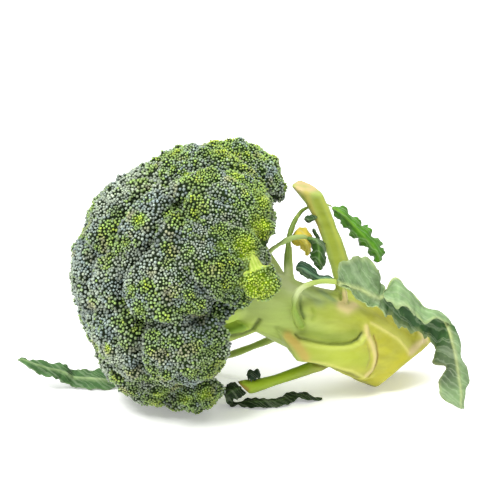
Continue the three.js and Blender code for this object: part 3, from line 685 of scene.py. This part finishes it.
# Marks on the stalk: the pixels that each runs over, then its width and rise in mm, colour and strength.
# Some are painted shade under the belly and in creases, and painted highlights along a rim and on the neck.
STALK_MARKS = (
    # Painted shade on the belly's underside.
    ([(303, 333), (315, 336), (330, 338), (345, 337), (354, 333)], 3.6, 0, (112, 136, 26), 0.85),
    ([(318, 312), (330, 316), (342, 320), (352, 322)], 6.5, 0.5, (140, 148, 28), 0.6),
    ([(305, 293), (313, 295), (318, 300)], 4.0, -0.5, (158, 178, 120), 0.8),
    # Painted shade in the groove under the belly, along the clasping leaf stalk's upper rim.
    ([(296, 334), (300, 338), (308, 340), (318, 342.5), (330, 344), (343, 344), (352, 342.5), (358, 339),
      (362, 333)], 0.9, -1.7, (78, 100, 14), 0.95),
    ([(310, 352), (325, 355), (340, 357), (355, 358), (364, 360)], 5.5, 0.5, (170, 184, 44), 0.85),
    # A painted highlight along the clasping leaf stalk's rim, below the groove.
    ([(301, 342), (308, 344), (318, 346.5), (330, 348), (343, 348), (353, 346.5), (361, 343), (366, 335)],
     1.2, 0.9, (196, 208, 92), 0.8),
    ([(306, 360), (315, 361.5), (325, 363.5), (340, 368), (350, 370), (358, 373.5), (364, 377)],
     0.8, 0.7, (216, 214, 110), 0.75),
    ([(314, 364), (325, 367), (340, 371.5), (350, 374), (358, 378)], 1.1, -0.8, (112, 108, 20), 0.8),
    ([(366, 327), (367, 335), (370, 340), (373, 347), (375, 355), (375, 362), (372, 370), (366, 375)],
     1.5, 0.8, (220, 200, 132), 0.95),
    ([(374, 336), (377, 345), (378, 355), (376.5, 363), (373, 371), (369, 377)],
     0.6, -0.9, (138, 104, 24), 0.9),
    ([(367, 344), (369.5, 352), (369.5, 360), (367, 367)], 0.5, -0.4, (176, 160, 70), 0.7),
    ([(382, 338), (390, 342), (398, 347), (402, 352)], 3.4, -0.6, (172, 168, 34), 0.7),
    ([(378, 322), (390, 328), (400, 336), (407, 345)], 3.2, 0, (204, 206, 96), 0.6),
    ([(371, 323), (380, 328), (390, 334), (398, 339), (404, 345), (409, 352)],
     0.9, 0.8, (226, 218, 120), 0.85),
    ([(374, 383), (386, 374), (398, 364), (408, 355)], 2.2, 0, (188, 180, 10), 0.85),
    ([(362, 383), (366, 385), (370, 385)], 2.4, 0, (120, 112, 10), 0.8),
    ([(411, 352), (418, 345), (425, 339)], 2.2, 0.3, (224, 200, 150), 0.9),
    ([(419, 327), (422, 332), (424, 337)], 2.0, 0.6, (226, 212, 150), 0.9),
    ([(345, 294), (343, 300), (341, 306), (347, 309), (354, 305)], 3.0, 0.5, (216, 194, 140), 0.9),
    ([(341, 293), (341, 300)], 1.2, -0.9, (98, 114, 14), 0.9),
    ([(371, 305), (377, 307)], 1.8, 0.4, (206, 196, 20), 0.85),
    ([(288, 336), (294, 342), (300, 349), (305, 357)], 2.7, 0.2, (200, 168, 76), 0.9),
    ([(299, 291), (295, 297), (294, 305), (296, 313), (299, 320), (302, 326)],
     1.7, 0.6, (112, 150, 34), 0.9),
    ([(301, 296), (300, 303), (301, 311), (304, 318)], 0.9, -0.7, (66, 100, 14), 0.9),
    ([(313, 309), (315, 315), (313, 319)], 1.4, -0.5, (124, 146, 30), 0.7),
    ([(321, 292), (327, 296), (333, 300)], 2.3, 0.5, (112, 142, 92), 0.9),
    ([(298, 183), (306, 183), (314, 188), (306, 190), (299, 188)], 2.6, 0, (218, 190, 136), 0.95),
    ([(306, 193), (314, 215), (321, 238), (328, 262)], 1.8, 0.2, (196, 184, 82), 0.85),
    ([(317, 202), (325, 222), (333, 244), (338, 262)], 2.6, -0.7, (150, 166, 26), 0.9),
    ([(322, 198), (330, 217), (338, 240), (344, 258)], 1.0, 0.4, (176, 186, 60), 0.85),
    ([(285, 262), (287, 245), (290, 228), (296, 215), (303, 208)], 3.0, 0.4, (88, 124, 30), 0.95),
    ([(270, 250), (273.7, 247.8), (277.5, 245.6), (281.2, 243.1), (285, 240.6), (291, 237.5), (303, 236),
      (309, 238)], 3.2, 0.8, (142, 168, 96), 0.95),
    ([(272, 264), (274, 274), (275, 286)], 4.0, 0, (182, 200, 128), 0.75),
    # A painted highlight on the top of the neck.
    ([(283, 270), (284, 280), (290, 288), (300, 291)], 5.0, 0, (210, 222, 166), 0.8),
    ([(246, 306), (262, 300), (280, 298)], 7.0, 0, (166, 186, 112), 0.5),
    ([(300, 366), (285, 373), (268, 379), (250, 385), (240, 387)], 5.0, 0, (160, 194, 6), 0.98),
    ([(300, 362), (285, 368), (268, 374), (252, 379), (242, 381)], 1.0, 0.3, (190, 206, 84), 0.9),
    ([(236, 380), (241, 386), (247, 390)], 1.4, -0.3, (150, 104, 30), 0.9),
    ([(262, 344), (250, 349), (240, 352)], 3.0, 0, (160, 190, 80), 0.9),
    ([(230, 322), (240, 328), (250, 326)], 4.5, 0.4, (176, 206, 70), 0.8),
    ([(228, 331), (236, 330), (243, 327)], 2.4, 0, (100, 146, 12), 0.85),
    # Painted shade in the gap between the low branches.
    ([(232, 336), (243, 334), (252, 330), (259, 320)], 1.2, -1.2, (58, 82, 18), 0.9),
)

stalk_mesh = melted("stalk", STALK_VOXEL, STALK_SMOOTHING)
points, normals = places_of(stalk_mesh)
stalk_surface = surface_of(stalk_mesh)
local = (points - np.array(BELOW_CROWN)) / MM  # in millimetres, with x growing towards the foot
along_stalk, height = local[:, 0], local[:, 2]
ribs = patchy(local * np.array([0.22, 1, 1]), 4.2) * (0.14 + 0.16 * eased(along_stalk, 50, 70))
lumps = patchy(local, 17, 4.2) * 0.6
stalk_tint = mixed(NECK, FOOT, eased(along_stalk + 0.4 * (30 - height), 44, 100))
streaks = patchy(local * np.array([0.2, 1, 1]), 3.4, 2.2)
fine_streaks = patchy(local * np.array([0.16, 1, 1]), 1.5, 6.4)
blotches = patchy(local, 11, 5.9)
streaked = 1 + (0.1 + 0.12 * eased(along_stalk, 50, 64)) * streaks + 0.16 * fine_streaks + 0.16 * blotches
stalk_tint = stalk_tint * streaked[:, None]
rise = ribs + lumps
for pixels, width, raised, colour, strength in STALK_MARKS:
    near = nearness(points, traced(stalk_surface, pixels), width * MM)
    rise += raised * near
    stalk_tint = mixed(stalk_tint, shade(*colour), strength * np.clip(1.25 * near, 0, 1))
stalk_tint = stalk_tint * (1 - 0.2 * eased(along_stalk, 40, 54))[:, None]
put_places(stalk_mesh, points + normals * (rise * MM)[:, None])
put_colour(stalk_mesh, np.clip(stalk_tint, 0, 1))
stalk_material, shader, place, tint = material_of("stalk skin", 0.42)
shader.inputs["Specular IOR Level"].default_value = 0.22
fibres = place.noise(260, 4, (0.25, 1, 1))
speckle = place.noise(1400, 2)
skin = tint.tinted(shade(232, 234, 150), fibres * 0.18)
into(shader, "Base Color", skin.tinted(shade(120, 134, 40), speckle * 0.16))
into(shader, "Roughness", fibres * 0.3 + 0.28)
relief = place.node("ShaderNodeBump", {}, {"Height": fibres, "Distance": RELIEF, "Strength": 0.45})
into(shader, "Normal", relief)
stalk_mesh.materials.append(stalk_material)
stalk = new_piece("stalk_skin", stalk_mesh)
thinner = stalk.modifiers.new("Thinner", "DECIMATE")
thinner.ratio = STALK_THINNING
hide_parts("stalk")

# Leaves. Seven small wilted blades hang from bent stalks or lie on the surface. Each has a pale raised
# rib, side veins, a wavy toothed edge and a waxy upper side, and has grown from its own leaf stalk.
BLADE_THICKNESS = 0.6 * MM
BLADE_STEP = 0.85 * MM
BLADE_COLUMNS = 36
VEIN_GAP = 6 * MM
VEIN_DEPTH = 0.27 * MM
VEIN_SLANT = 0.9
VEIN_PALENESS = 0.1
MOTTLING = 0.7


def rail(line, shares):
    """Places on a smooth curve through points, at shares of the way along it."""
    line = np.array(line, float)
    line = np.vstack([2 * line[0] - line[1], line, 2 * line[-1] - line[-2]])
    way = np.clip(shares, 0, 1) * (len(line) - 3)
    first = np.minimum(way.astype(int), len(line) - 4)
    t = (way - first)[:, None]
    a, b, c, d = (line[first + k] for k in range(4))
    ab, bc, cd = (np.sqrt(np.linalg.norm(q - p, axis=1))[:, None] for p, q in ((a, b), (b, c), (c, d)))
    leaving = ((b - a) / ab - (c - a) / (ab + bc) + (c - b) / bc) * bc
    arriving = ((c - b) / bc - (d - b) / (bc + cd) + (d - c) / cd) * bc
    bend = 3 * (c - b) - 2 * leaving - arriving
    return b + leaving * t + bend * t**2 + (2 * (b - c) + leaving + arriving) * t**3


def blade_places(rows, waves, teeth, lobes, shares, across):
    """Places on a blade's middle layer, by the share of its length and from -1 to 1 across it."""
    left, middle, right = (rail([row[side] for row in rows], shares) for side in range(3))
    inner = np.sqrt(np.sin(np.pi * np.clip(shares, 0, 1)))
    lobe = 0.5 + 0.5 * np.cos(waves * 4 * np.pi * shares + across)
    uneven = 0.35 * np.sin(shares * 31 + 2 * np.sign(across))
    tooth = np.abs((shares * waves * 4.6 + uneven + 0.2 * np.sign(across)) % 1 - 0.5) * 2
    cut = inner * (lobes * lobe + teeth * tooth) * eased(np.abs(across), 0.3, 0.95)
    u = (across * (1 - cut))[:, None]
    return (middle + (right - left) / 2 * u + ((right + left) / 2 - middle) * u * u) * MM


def leaf_blade(
    name, node, rows, rib, ruffle, waves, crinkle, upper, under, rib_colour, turned=None, teeth=0.1, lobes=0.14
):
    """A finished blade. Upper and under are the colours of its two sides; node is the solid it replaces.

    Where a blade is turned over at its ends, turned gives the shares of its length between which it isn't.
    Teeth and lobes are how deep its edge is cut, as shares of its half width."""
    line = np.array([row[1] for row in rows], float)
    length = np.linalg.norm(np.diff(line, axis=0), axis=1).sum() * MM
    mesh = bpy.data.meshes.new(name)
    work = bmesh.new()
    segments = max(20, round(length / BLADE_STEP))
    bmesh.ops.create_grid(work, x_segments=segments, y_segments=BLADE_COLUMNS, size=1)
    flat = np.array([vert.co for vert in work.verts])
    work.to_mesh(mesh)
    work.free()
    shares = (flat[:, 0] + 1) / 2
    across = np.sign(flat[:, 1]) * np.abs(flat[:, 1]) ** 1.25
    ahead, behind = (blade_places(rows, waves, 0, lobes, shares + step, across) for step in (0.004, -0.004))
    rightward, leftward = (blade_places(rows, waves, 0, lobes, shares, across + step) for step in (0.02, -0.02))
    lean = np.cross(ahead - behind, rightward - leftward)
    lean /= np.linalg.norm(lean, axis=1)[:, None] + 1e-12  # a blade may end in a point
    width = np.linalg.norm(rightward - leftward, axis=1) / 0.04
    inner = np.sqrt(np.sin(np.pi * shares))
    points = blade_places(rows, waves, teeth, lobes, shares, across)
    from_rib = np.abs(across) * width
    sign = np.sign(across)
    wave = np.sin(waves * 2 * np.pi * shares + 1.7 * sign) * across**2
    wave += 0.35 * np.sin(waves * 5.3 * np.pi * shares + 0.9 * sign) * np.abs(across) ** 3
    folds = patchy(points, 6.5 * MM, 3.7) + 0.5 * patchy(points, 2.8 * MM, 6.1)
    phase = (shares * length - from_rib * VEIN_SLANT) / VEIN_GAP + 0.5 * (sign > 0)
    vein = fading((phase % 1) - 0.5, 0.07) * eased(np.abs(across), 1.0, 0.75)
    ribbed = np.sqrt(np.maximum(0, (rib * MM * (1 - 0.6 * shares)) ** 2 - from_rib**2))
    half = np.maximum(BLADE_THICKNESS / 2 * (0.6 + 0.4 * inner), ribbed)
    lift = ruffle * MM * wave + crinkle * MM * folds * (0.35 + 0.65 * np.abs(across))
    points += lean * (inner * lift - VEIN_DEPTH * vein * inner * (ribbed <= 0))[:, None]
    points += np.array(BELOW_CROWN)
    points[:, 2] = np.maximum(points[:, 2], half + 0.03 * MM)
    put_places(mesh, points)
    near_rib = fading(from_rib, 0.95 * rib * MM * (1 - 0.55 * shares)) * (1 - 0.45 * shares)
    mottle = patchy(points, 5 * MM, 2.3) * 0.5 + patchy(points, 1.9 * MM, 8.3) * 0.35
    for layer, colour in (("tint", upper), ("under", under)):
        veins = VEIN_PALENESS * vein * inner * np.clip(0.6 + 2 * mottle, 0, 1)
        pale = np.clip(veins + near_rib, 0, 1) * 0.9
        shown = mixed(shade(*colour), shade(*rib_colour), pale)
        if turned and layer == "tint":
            start, stop = turned
            ends = eased(shares, start + 0.02, start - 0.02) + eased(shares, stop - 0.03, stop + 0.03)
            # Painted shade: the turned end is darkened on one side just past the fold.
            fold = eased(shares, stop + 0.17, stop + 0.08) * eased(across, 0.25, -0.1) * (shares > 0.5)
            light = shade(*under) * (0.86 - 0.54 * fold)[:, None]
            shown = mixed(shown, mixed(light, shade(*rib_colour), 0.65 * pale), ends)
        edge = eased(np.abs(across), 0.86, 1) * 0.3
        shown = mixed(shown, shade(*rib_colour) * 0.9, edge)
        put_colour(mesh, shown * (1 + MOTTLING * mottle)[:, None], layer)
    mesh.materials.append(leaf_face)
    mesh.materials.append(leaf_back)
    piece = new_piece(name, mesh)
    thickness = piece.vertex_groups.new(name="thickness")
    widest = half.max()
    for k, share in enumerate(half / widest):
        thickness.add([k], float(share), "REPLACE")
    solid = piece.modifiers.new("Solid", "SOLIDIFY")
    solid.thickness = 2 * widest
    solid.offset = 0
    solid.vertex_group = "thickness"
    solid.material_offset = 1
    solid.material_offset_rim = 1
    if node:
        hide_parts(node)


def leaf_material(name, roughness, layer):
    """Leaf tissue: its kept colour under a net of fine pale veins and a little bloom."""
    material, shader, place, tint = material_of(name, roughness, layer)
    warped = place + place.noise(160, 2) * 0.002
    cell = warped.node("ShaderNodeTexVoronoi", {"feature": "DISTANCE_TO_EDGE"}, {"Vector": warped, "Scale": 420})
    line = 0.1 - cell
    net = line.maths("MAXIMUM", line, 0) * 1.7
    bloom = place.noise(500, 4)
    colour = tint.tinted(shade(206, 222, 186), net)
    into(shader, "Base Color", colour.tinted(shade(196, 212, 190), bloom * 0.04))
    heights = net * 2.3 + bloom * 0.5
    relief = place.node("ShaderNodeBump", {}, {"Height": heights, "Distance": RELIEF, "Strength": 0.7})
    into(shader, "Normal", relief)
    shader.inputs["Specular IOR Level"].default_value = 0.12
    return material


leaf_face = leaf_material("leaf upper side", 0.5, "tint")
leaf_back = leaf_material("leaf under side", 0.6, "under")

# The draped leaf hangs over the stalk's foot from a thick pale rib; below it, past the fold, its turned under
# side is darkened with painted shade.
leaf_blade(
    "draped_leaf", "leaf_draped",
    [
        [[72.3, -2, 72.9], [72.2, -2, 74.4], [72.2, -2, 76]],
        [[77, -1, 70.7], [77.1, 1, 72.1], [71.6, -5, 82]],
        [[79.9, 0.4, 67.4], [80.5, 2, 70.8], [73.6, -4.5, 87]],
        [[82.6, 1.7, 64.4], [83.9, 3, 69.5], [78.4, -3.5, 89.6]],
        [[85.2, 2.3, 61.8], [87.1, 4, 67.5], [84.4, -1, 89.8]],
        [[88.1, 2.8, 60.3], [90.3, 5, 65.4], [90.2, 2.5, 86.6]],
        [[91.3, 3.5, 59.6], [93.2, 6, 63.8], [95, 5.5, 79.5]],
        [[94.2, 4, 58], [96.1, 7, 62.5], [97, 8, 70]],
        [[99.2, 8, 51.2], [100.3, 6, 66.9], [98.2, -6, 64.2]],
        [[103.6, 9, 46.8], [103.8, 4, 74.1], [103.9, -10, 60.9]],
        [[109.2, 9, 42.4], [109.4, 3, 68.9], [109.2, -11, 60]],
        [[114.8, 9, 40.2], [115, 2, 63.5], [114.8, -11, 56]],
        [[120.2, 6.8, 38.8], [120, 1, 58], [120.5, -10, 52.3]],
        [[124.2, 4.3, 38.8], [125.5, 0, 56.6], [127.7, -9, 54.2]],
        [[126, 2, 33.7], [131.7, -4, 52], [134.5, -8, 50.5]],
        [[124.8, 0, 27.3], [134.7, -9, 43.3], [139.3, -8, 41.2]],
        [[132.3, -7, 25.7], [137, -11, 33.5], [142.3, -9, 30.5]],
        [[127.3, -9, 17.6], [138.9, -12, 22.2], [143.7, -10, 21.5]],
        [[129.2, -9, 10.5], [140.4, -12, 13.4], [142.9, -10, 12.1]],
        [[135, -9, 6.3], [140.7, -11, 7.7], [142.6, -10, 5.5]],
        [[139.4, -10, 3.8], [141, -10, 3.5], [142.7, -10, 3.2]],
    ],
    rib=1.9, ruffle=1.3, waves=7, crinkle=1.3,
    upper=(44, 80, 38), under=(118, 146, 98), rib_colour=(196, 206, 136),
    turned=(0.39, 0.745), teeth=0.03, lobes=0.08,
)
# The leaf behind the upright stalk is bright green and ruffled on both edges.
leaf_blade(
    "back_leaf", "leaf_back",
    [
        [[70.6, 40, 105.3], [71.1, 40, 106.2], [71.5, 40, 107]],
        [[73.7, 43, 99], [75.5, 36, 104.5], [77, 43, 106.4]],
        [[78.3, 41, 94.8], [80.6, 34, 99.5], [82.8, 42, 101]],
        [[82.3, 40, 89.7], [85.1, 33, 95], [90.3, 41, 96.6]],
        [[86.3, 39, 85.2], [89.7, 32, 90], [94.9, 40, 90.3]],
        [[91.5, 38, 80.7], [94.4, 32, 84.7], [100.3, 40, 84.3]],
        [[94.4, 37, 76.8], [96.8, 32, 80], [100.9, 39, 79.2]],
        [[96.5, 34, 75.3], [97.5, 33, 76.1], [98.9, 35, 76.2]],
    ],
    rib=1, ruffle=1.2, waves=6, crinkle=1.0,
    upper=(66, 118, 16), under=(56, 96, 24), rib_colour=(98, 144, 36),
)
# The small leaf on the arching stalk is dark green and hangs straight down.
leaf_blade(
    "arch_leaf", "leaf_small_arch",
    [
        [[55, 5.2, 96.4], [55.2, 4.4, 97.5], [55.5, 5.4, 98.1]],
        [[57.4, 9, 93.1], [59.9, 4, 96.4], [63.4, 8, 95.7]],
        [[56.9, 10, 88.3], [61.5, 2, 91], [65.7, 8, 89.4]],
        [[56.4, 10, 84.8], [61.6, 2, 85.9], [65.7, 8, 84.2]],
        [[59.6, 7, 81.6], [62.3, 4, 81.9], [64.6, 6, 80.7]],
        [[61.8, 5, 79.3], [62.3, 5, 79], [62.9, 5, 79.3]],
    ],
    rib=0.8, ruffle=0.5, waves=3, crinkle=0.5,
    upper=(40, 76, 14), under=(50, 84, 30), rib_colour=(84, 120, 46),
)
# The yellowed leaf behind it has wilted and dried to orange along its lower edge.
leaf_blade(
    "yellowed_leaf", "leaf_yellowed",
    [
        [[46.5, 27.4, 90.4], [46.6, 27.3, 91.1], [46.7, 27.4, 91.8]],
        [[48.7, 30, 86.7], [50.2, 26, 92.7], [50.9, 30, 97]],
        [[52.1, 31, 84.7], [53.8, 24, 92.1], [56, 30, 97.2]],
        [[53.9, 31, 83.2], [55.8, 24, 89.2], [59.7, 29, 91.9]],
        [[55.6, 30, 81.1], [56.5, 27, 84.3], [58.9, 29, 86.1]],
        [[56.4, 29, 80.8], [56.9, 29, 81.4], [57.5, 29, 82]],
    ],
    rib=0.8, ruffle=0.4, waves=3, crinkle=0.5,
    upper=(204, 184, 62), under=(206, 172, 44), rib_colour=(222, 206, 92),
)
# The curled leaf beside the stalk's neck is thick, dark and blue-green, with pale rolled edges.
leaf_blade(
    "curled_leaf", "leaf_curled",
    [
        [[70.9, 7, 73.2], [70.8, 7, 72.3], [70.9, 7, 71.5]],
        [[67.8, 11, 74.3], [66.4, 5, 74.6], [66.6, 8, 72.6]],
        [[62.9, 12, 74.9], [61.9, 3, 75.2], [61.6, 8, 72]],
        [[58.4, 12, 79.2], [56.9, 2, 78.3], [56.7, 8, 72.9]],
        [[55.1, 12, 82.3], [53, 2, 80.9], [52.8, 8, 75.2]],
        [[51.7, 11, 82.3], [50.7, 4, 80.9], [50.6, 8, 76.9]],
        [[49.4, 8, 80.9], [49.2, 7, 80], [49.2, 8, 78.6]],
    ],
    rib=0.8, ruffle=0.4, waves=3, crinkle=0.6,
    upper=(34, 72, 50), under=(86, 124, 90), rib_colour=(112, 150, 112),
)
# The folded leaf under the crown lies on the surface, grey-green along its pale rib and dark in its fold.
leaf_blade(
    "left_floor_leaf", "leaf_floor_left",
    [
        [[-48.1, 34.1, 8.4], [-48, 33.4, 7.2], [-47.9, 32.6, 6]],
        [[-57.9, 41.3, 8.8], [-57.3, 33.3, 3.6], [-56.8, 27.3, 0.9]],
        [[-66.7, 40.7, 9], [-65.9, 31.7, 4.9], [-65.3, 25.7, 0.9]],
        [[-74.5, 41.5, 8.1], [-73.6, 32.5, 5.2], [-73, 26.5, 0.9]],
        [[-80.3, 40.4, 8.5], [-80, 32.4, 5.8], [-81.2, 27.4, 2.4]],
        [[-83.4, 37.7, 11.7], [-83.6, 29.7, 9.3], [-86.7, 25.7, 5.5]],
        [[-87.9, 36.7, 13.6], [-88, 28.7, 11.5], [-89.1, 22.7, 8.5]],
        [[-94.7, 35.7, 14.6], [-93.7, 27.7, 13.1], [-93, 21.7, 9.5]],
        [[-100.2, 33.7, 15.9], [-99.2, 26.7, 15.6], [-98.1, 21.7, 11.6]],
        [[-105.1, 31.7, 17.5], [-104.4, 26.7, 17.5], [-103.3, 22.7, 14.6]],
        [[-108.8, 29.7, 18.9], [-108.4, 26.7, 19], [-107.5, 24.7, 17.3]],
        [[-110.7, 26.7, 19.1], [-110.7, 25.7, 19.2], [-110.3, 24.7, 19.2]],
    ],
    rib=1.5, ruffle=0.8, waves=5, crinkle=1.0,
    upper=(62, 98, 50), under=(44, 74, 36), rib_colour=(150, 174, 118),
)
# The narrow leaf in front droops from a cut leaf stalk and trails over the surface.
leaf_blade(
    "front_floor_leaf", "leaf_floor_front",
    [
        [[15.2, 5, 13.7], [18.1, 3, 11], [21.6, 4, 7.4]],
        [[12.3, 6, 12.6], [15.2, -1, 11], [19.7, 2, 5.4]],
        [[10, 7, 11.3], [12.4, -2, 10.2], [17.5, 0, 5.2]],
        [[8.9, 9, 7.8], [10.5, 1, 6.7], [15, 1, 3.9]],
        [[11.7, 5.9, 1.8], [11.8, 3.9, 0.9], [13.5, -0.1, 0.9]],
        [[16.8, 7.3, 1.2], [17.4, 3.3, 1.6], [17.5, -0.7, 0.9]],
        [[22.5, 5.6, 3.4], [22.5, 1.6, 2.8], [22.5, -2.4, 0.9]],
        [[28.2, 4.5, 4.7], [29.3, -0.5, 3.6], [29.8, -3.5, 0.9]],
        [[33.9, 5, 3], [36.1, 2, 2.6], [36.6, -2, 0.9]],
        [[40.2, 8.6, 3.4], [42.3, 4.6, 2.9], [43.4, -0.4, 0.9]],
        [[45.5, 15, 2.8], [47, 10, 2], [48.1, 6, 0.9]],
        [[50.7, 17, 3.4], [51.6, 11, 3.4], [51.5, 6, 3.2]],
        [[55.8, 15, 3.1], [56.2, 10, 3.2], [56, 5, 3]],
        [[60.4, 14.4, 1.2], [60.9, 12.4, 0.9], [60.7, 8.4, 0.9]],
        [[64.3, 13.3, 0.9], [65, 12.3, 0.9], [64.5, 10.3, 0.9]],
    ],
    rib=0.9, ruffle=0.7, waves=7, crinkle=1.0,
    upper=(26, 48, 16), under=(24, 46, 14), rib_colour=(66, 92, 44),
)

# Small leaf lobes sit on the stalk: two beside the upright leaf stalk and one on the low cut leaf stalk.
# They are soft leaf tissue, a few millimetres across, thick and dark, and have grown from the stalk's skin.
leaf_blade(
    "upper_lobe", None,
    [
        [[61.4, 29, 103], [61.5, 28.6, 103.8], [61.4, 29, 104.4]],
        [[58.8, 27, 101.4], [59, 25.2, 103.4], [58.8, 27, 105.2]],
        [[56.6, 27, 100.8], [56.8, 24.4, 103], [56.4, 27, 105.6]],
        [[54.9, 27, 101.6], [55, 25.2, 103], [54.9, 27, 104.6]],
        [[54.3, 27, 102.7], [54.3, 26.6, 103], [54.3, 27, 103.4]],
    ],
    rib=0.6, ruffle=0.2, waves=2, crinkle=0.3,
    upper=(40, 78, 30), under=(40, 70, 30), rib_colour=(80, 112, 56),
)
leaf_blade(
    "strip_lobe", None,
    [
        [[58.6, 22, 98.6], [59.3, 21.5, 98.8], [60, 22, 98.4]],
        [[58.8, 22.5, 96.6], [60.3, 21, 96.6], [61.2, 22.5, 96]],
        [[60, 23, 94], [61.2, 21.4, 93.8], [62.6, 23, 94]],
        [[61.6, 24, 91.4], [62.6, 22.6, 91.2], [63.8, 24, 91.6]],
        [[65.4, 27, 88], [66, 26.6, 88.2], [66.6, 27, 88.6]],
    ],
    rib=0.6, ruffle=0.2, waves=2, crinkle=0.3,
    upper=(30, 54, 20), under=(30, 54, 20), rib_colour=(60, 88, 44),
)
leaf_blade(
    "knob_lobe", None,
    [
        [[22.2, 8, 15.6], [22.3, 7, 16.6], [22.4, 4, 15.4]],
        [[23.4, 10, 13.9], [23.5, 7, 19.8], [23.6, 3, 14.5]],
        [[25.6, 10, 13.3], [25.8, 6.6, 19], [25.8, 2.8, 14.1]],
        [[27.8, 10, 14.1], [27.8, 7, 20.4], [27.9, 3, 14.9]],
        [[29.6, 8, 16], [29.5, 7, 17], [29.4, 4, 15.8]],
    ],
    rib=0.8, ruffle=0.3, waves=2, crinkle=0.4,
    upper=(30, 52, 34), under=(30, 52, 34), rib_colour=(48, 74, 50),
)

# Surface and light. The head lies on a plain white table in a white room, under soft light from the
# left and above.
TABLE_SIZE = 3
TABLE_WHITE = 0.95
TABLE_GLOW = 0.3  # light that comes through the table from below
floor_mesh = bpy.data.meshes.new("table")
work = bmesh.new()
bmesh.ops.create_grid(work, x_segments=1, y_segments=1, size=TABLE_SIZE)
work.to_mesh(floor_mesh)
work.free()
floor = bpy.data.objects.new("table", floor_mesh)
bpy.context.scene.collection.objects.link(floor)
floor_material = bpy.data.materials.new("white table")
floor_material.use_nodes = True
floor_shader = floor_material.node_tree.nodes["Principled BSDF"]
floor_shader.inputs["Base Color"].default_value = (TABLE_WHITE, TABLE_WHITE, TABLE_WHITE, 1)
floor_shader.inputs["Emission Color"].default_value = (1, 1, 1, 1)
floor_shader.inputs["Emission Strength"].default_value = TABLE_GLOW
floor_shader.inputs["Roughness"].default_value = 0.6
floor_mesh.materials.append(floor_material)

WHITE_ROOM = 0.52  # the room's light on the head
SEEN_WHITE = 1.05  # the camera sees the walls as plain white
world = bpy.data.worlds.new("white room")
world.use_nodes = True
world_tree = world.node_tree
walls = world_tree.nodes["Background"]
walls.inputs["Color"].default_value = (1, 1, 1, 1)
walls.inputs["Strength"].default_value = WHITE_ROOM
seen_walls = world_tree.nodes.new("ShaderNodeBackground")
seen_walls.inputs["Strength"].default_value = SEEN_WHITE
ray = world_tree.nodes.new("ShaderNodeLightPath")
either = world_tree.nodes.new("ShaderNodeMixShader")
world_tree.links.new(ray.outputs["Is Camera Ray"], either.inputs[0])
world_tree.links.new(walls.outputs[0], either.inputs[1])
world_tree.links.new(seen_walls.outputs[0], either.inputs[2])
world_tree.links.new(either.outputs[0], world_tree.nodes["World Output"].inputs[0])
bpy.context.scene.world = world
bpy.context.scene.view_settings.view_transform = "Standard"


def soft_sun(name, elevation, azimuth, strength, spread):
    """Even light from one side, in degrees from the view's right, with soft-edged shadows."""
    lamp = bpy.data.lights.new(name, "SUN")
    lamp.energy = strength
    lamp.angle = math.radians(spread)
    holder = bpy.data.objects.new(name, lamp)
    holder.rotation_euler = (0, math.radians(90 - elevation), math.radians(azimuth))
    bpy.context.scene.collection.objects.link(holder)


soft_sun("key light", elevation=52, azimuth=-118, strength=3.2, spread=20)
soft_sun("top light", elevation=78, azimuth=60, strength=1.6, spread=60)
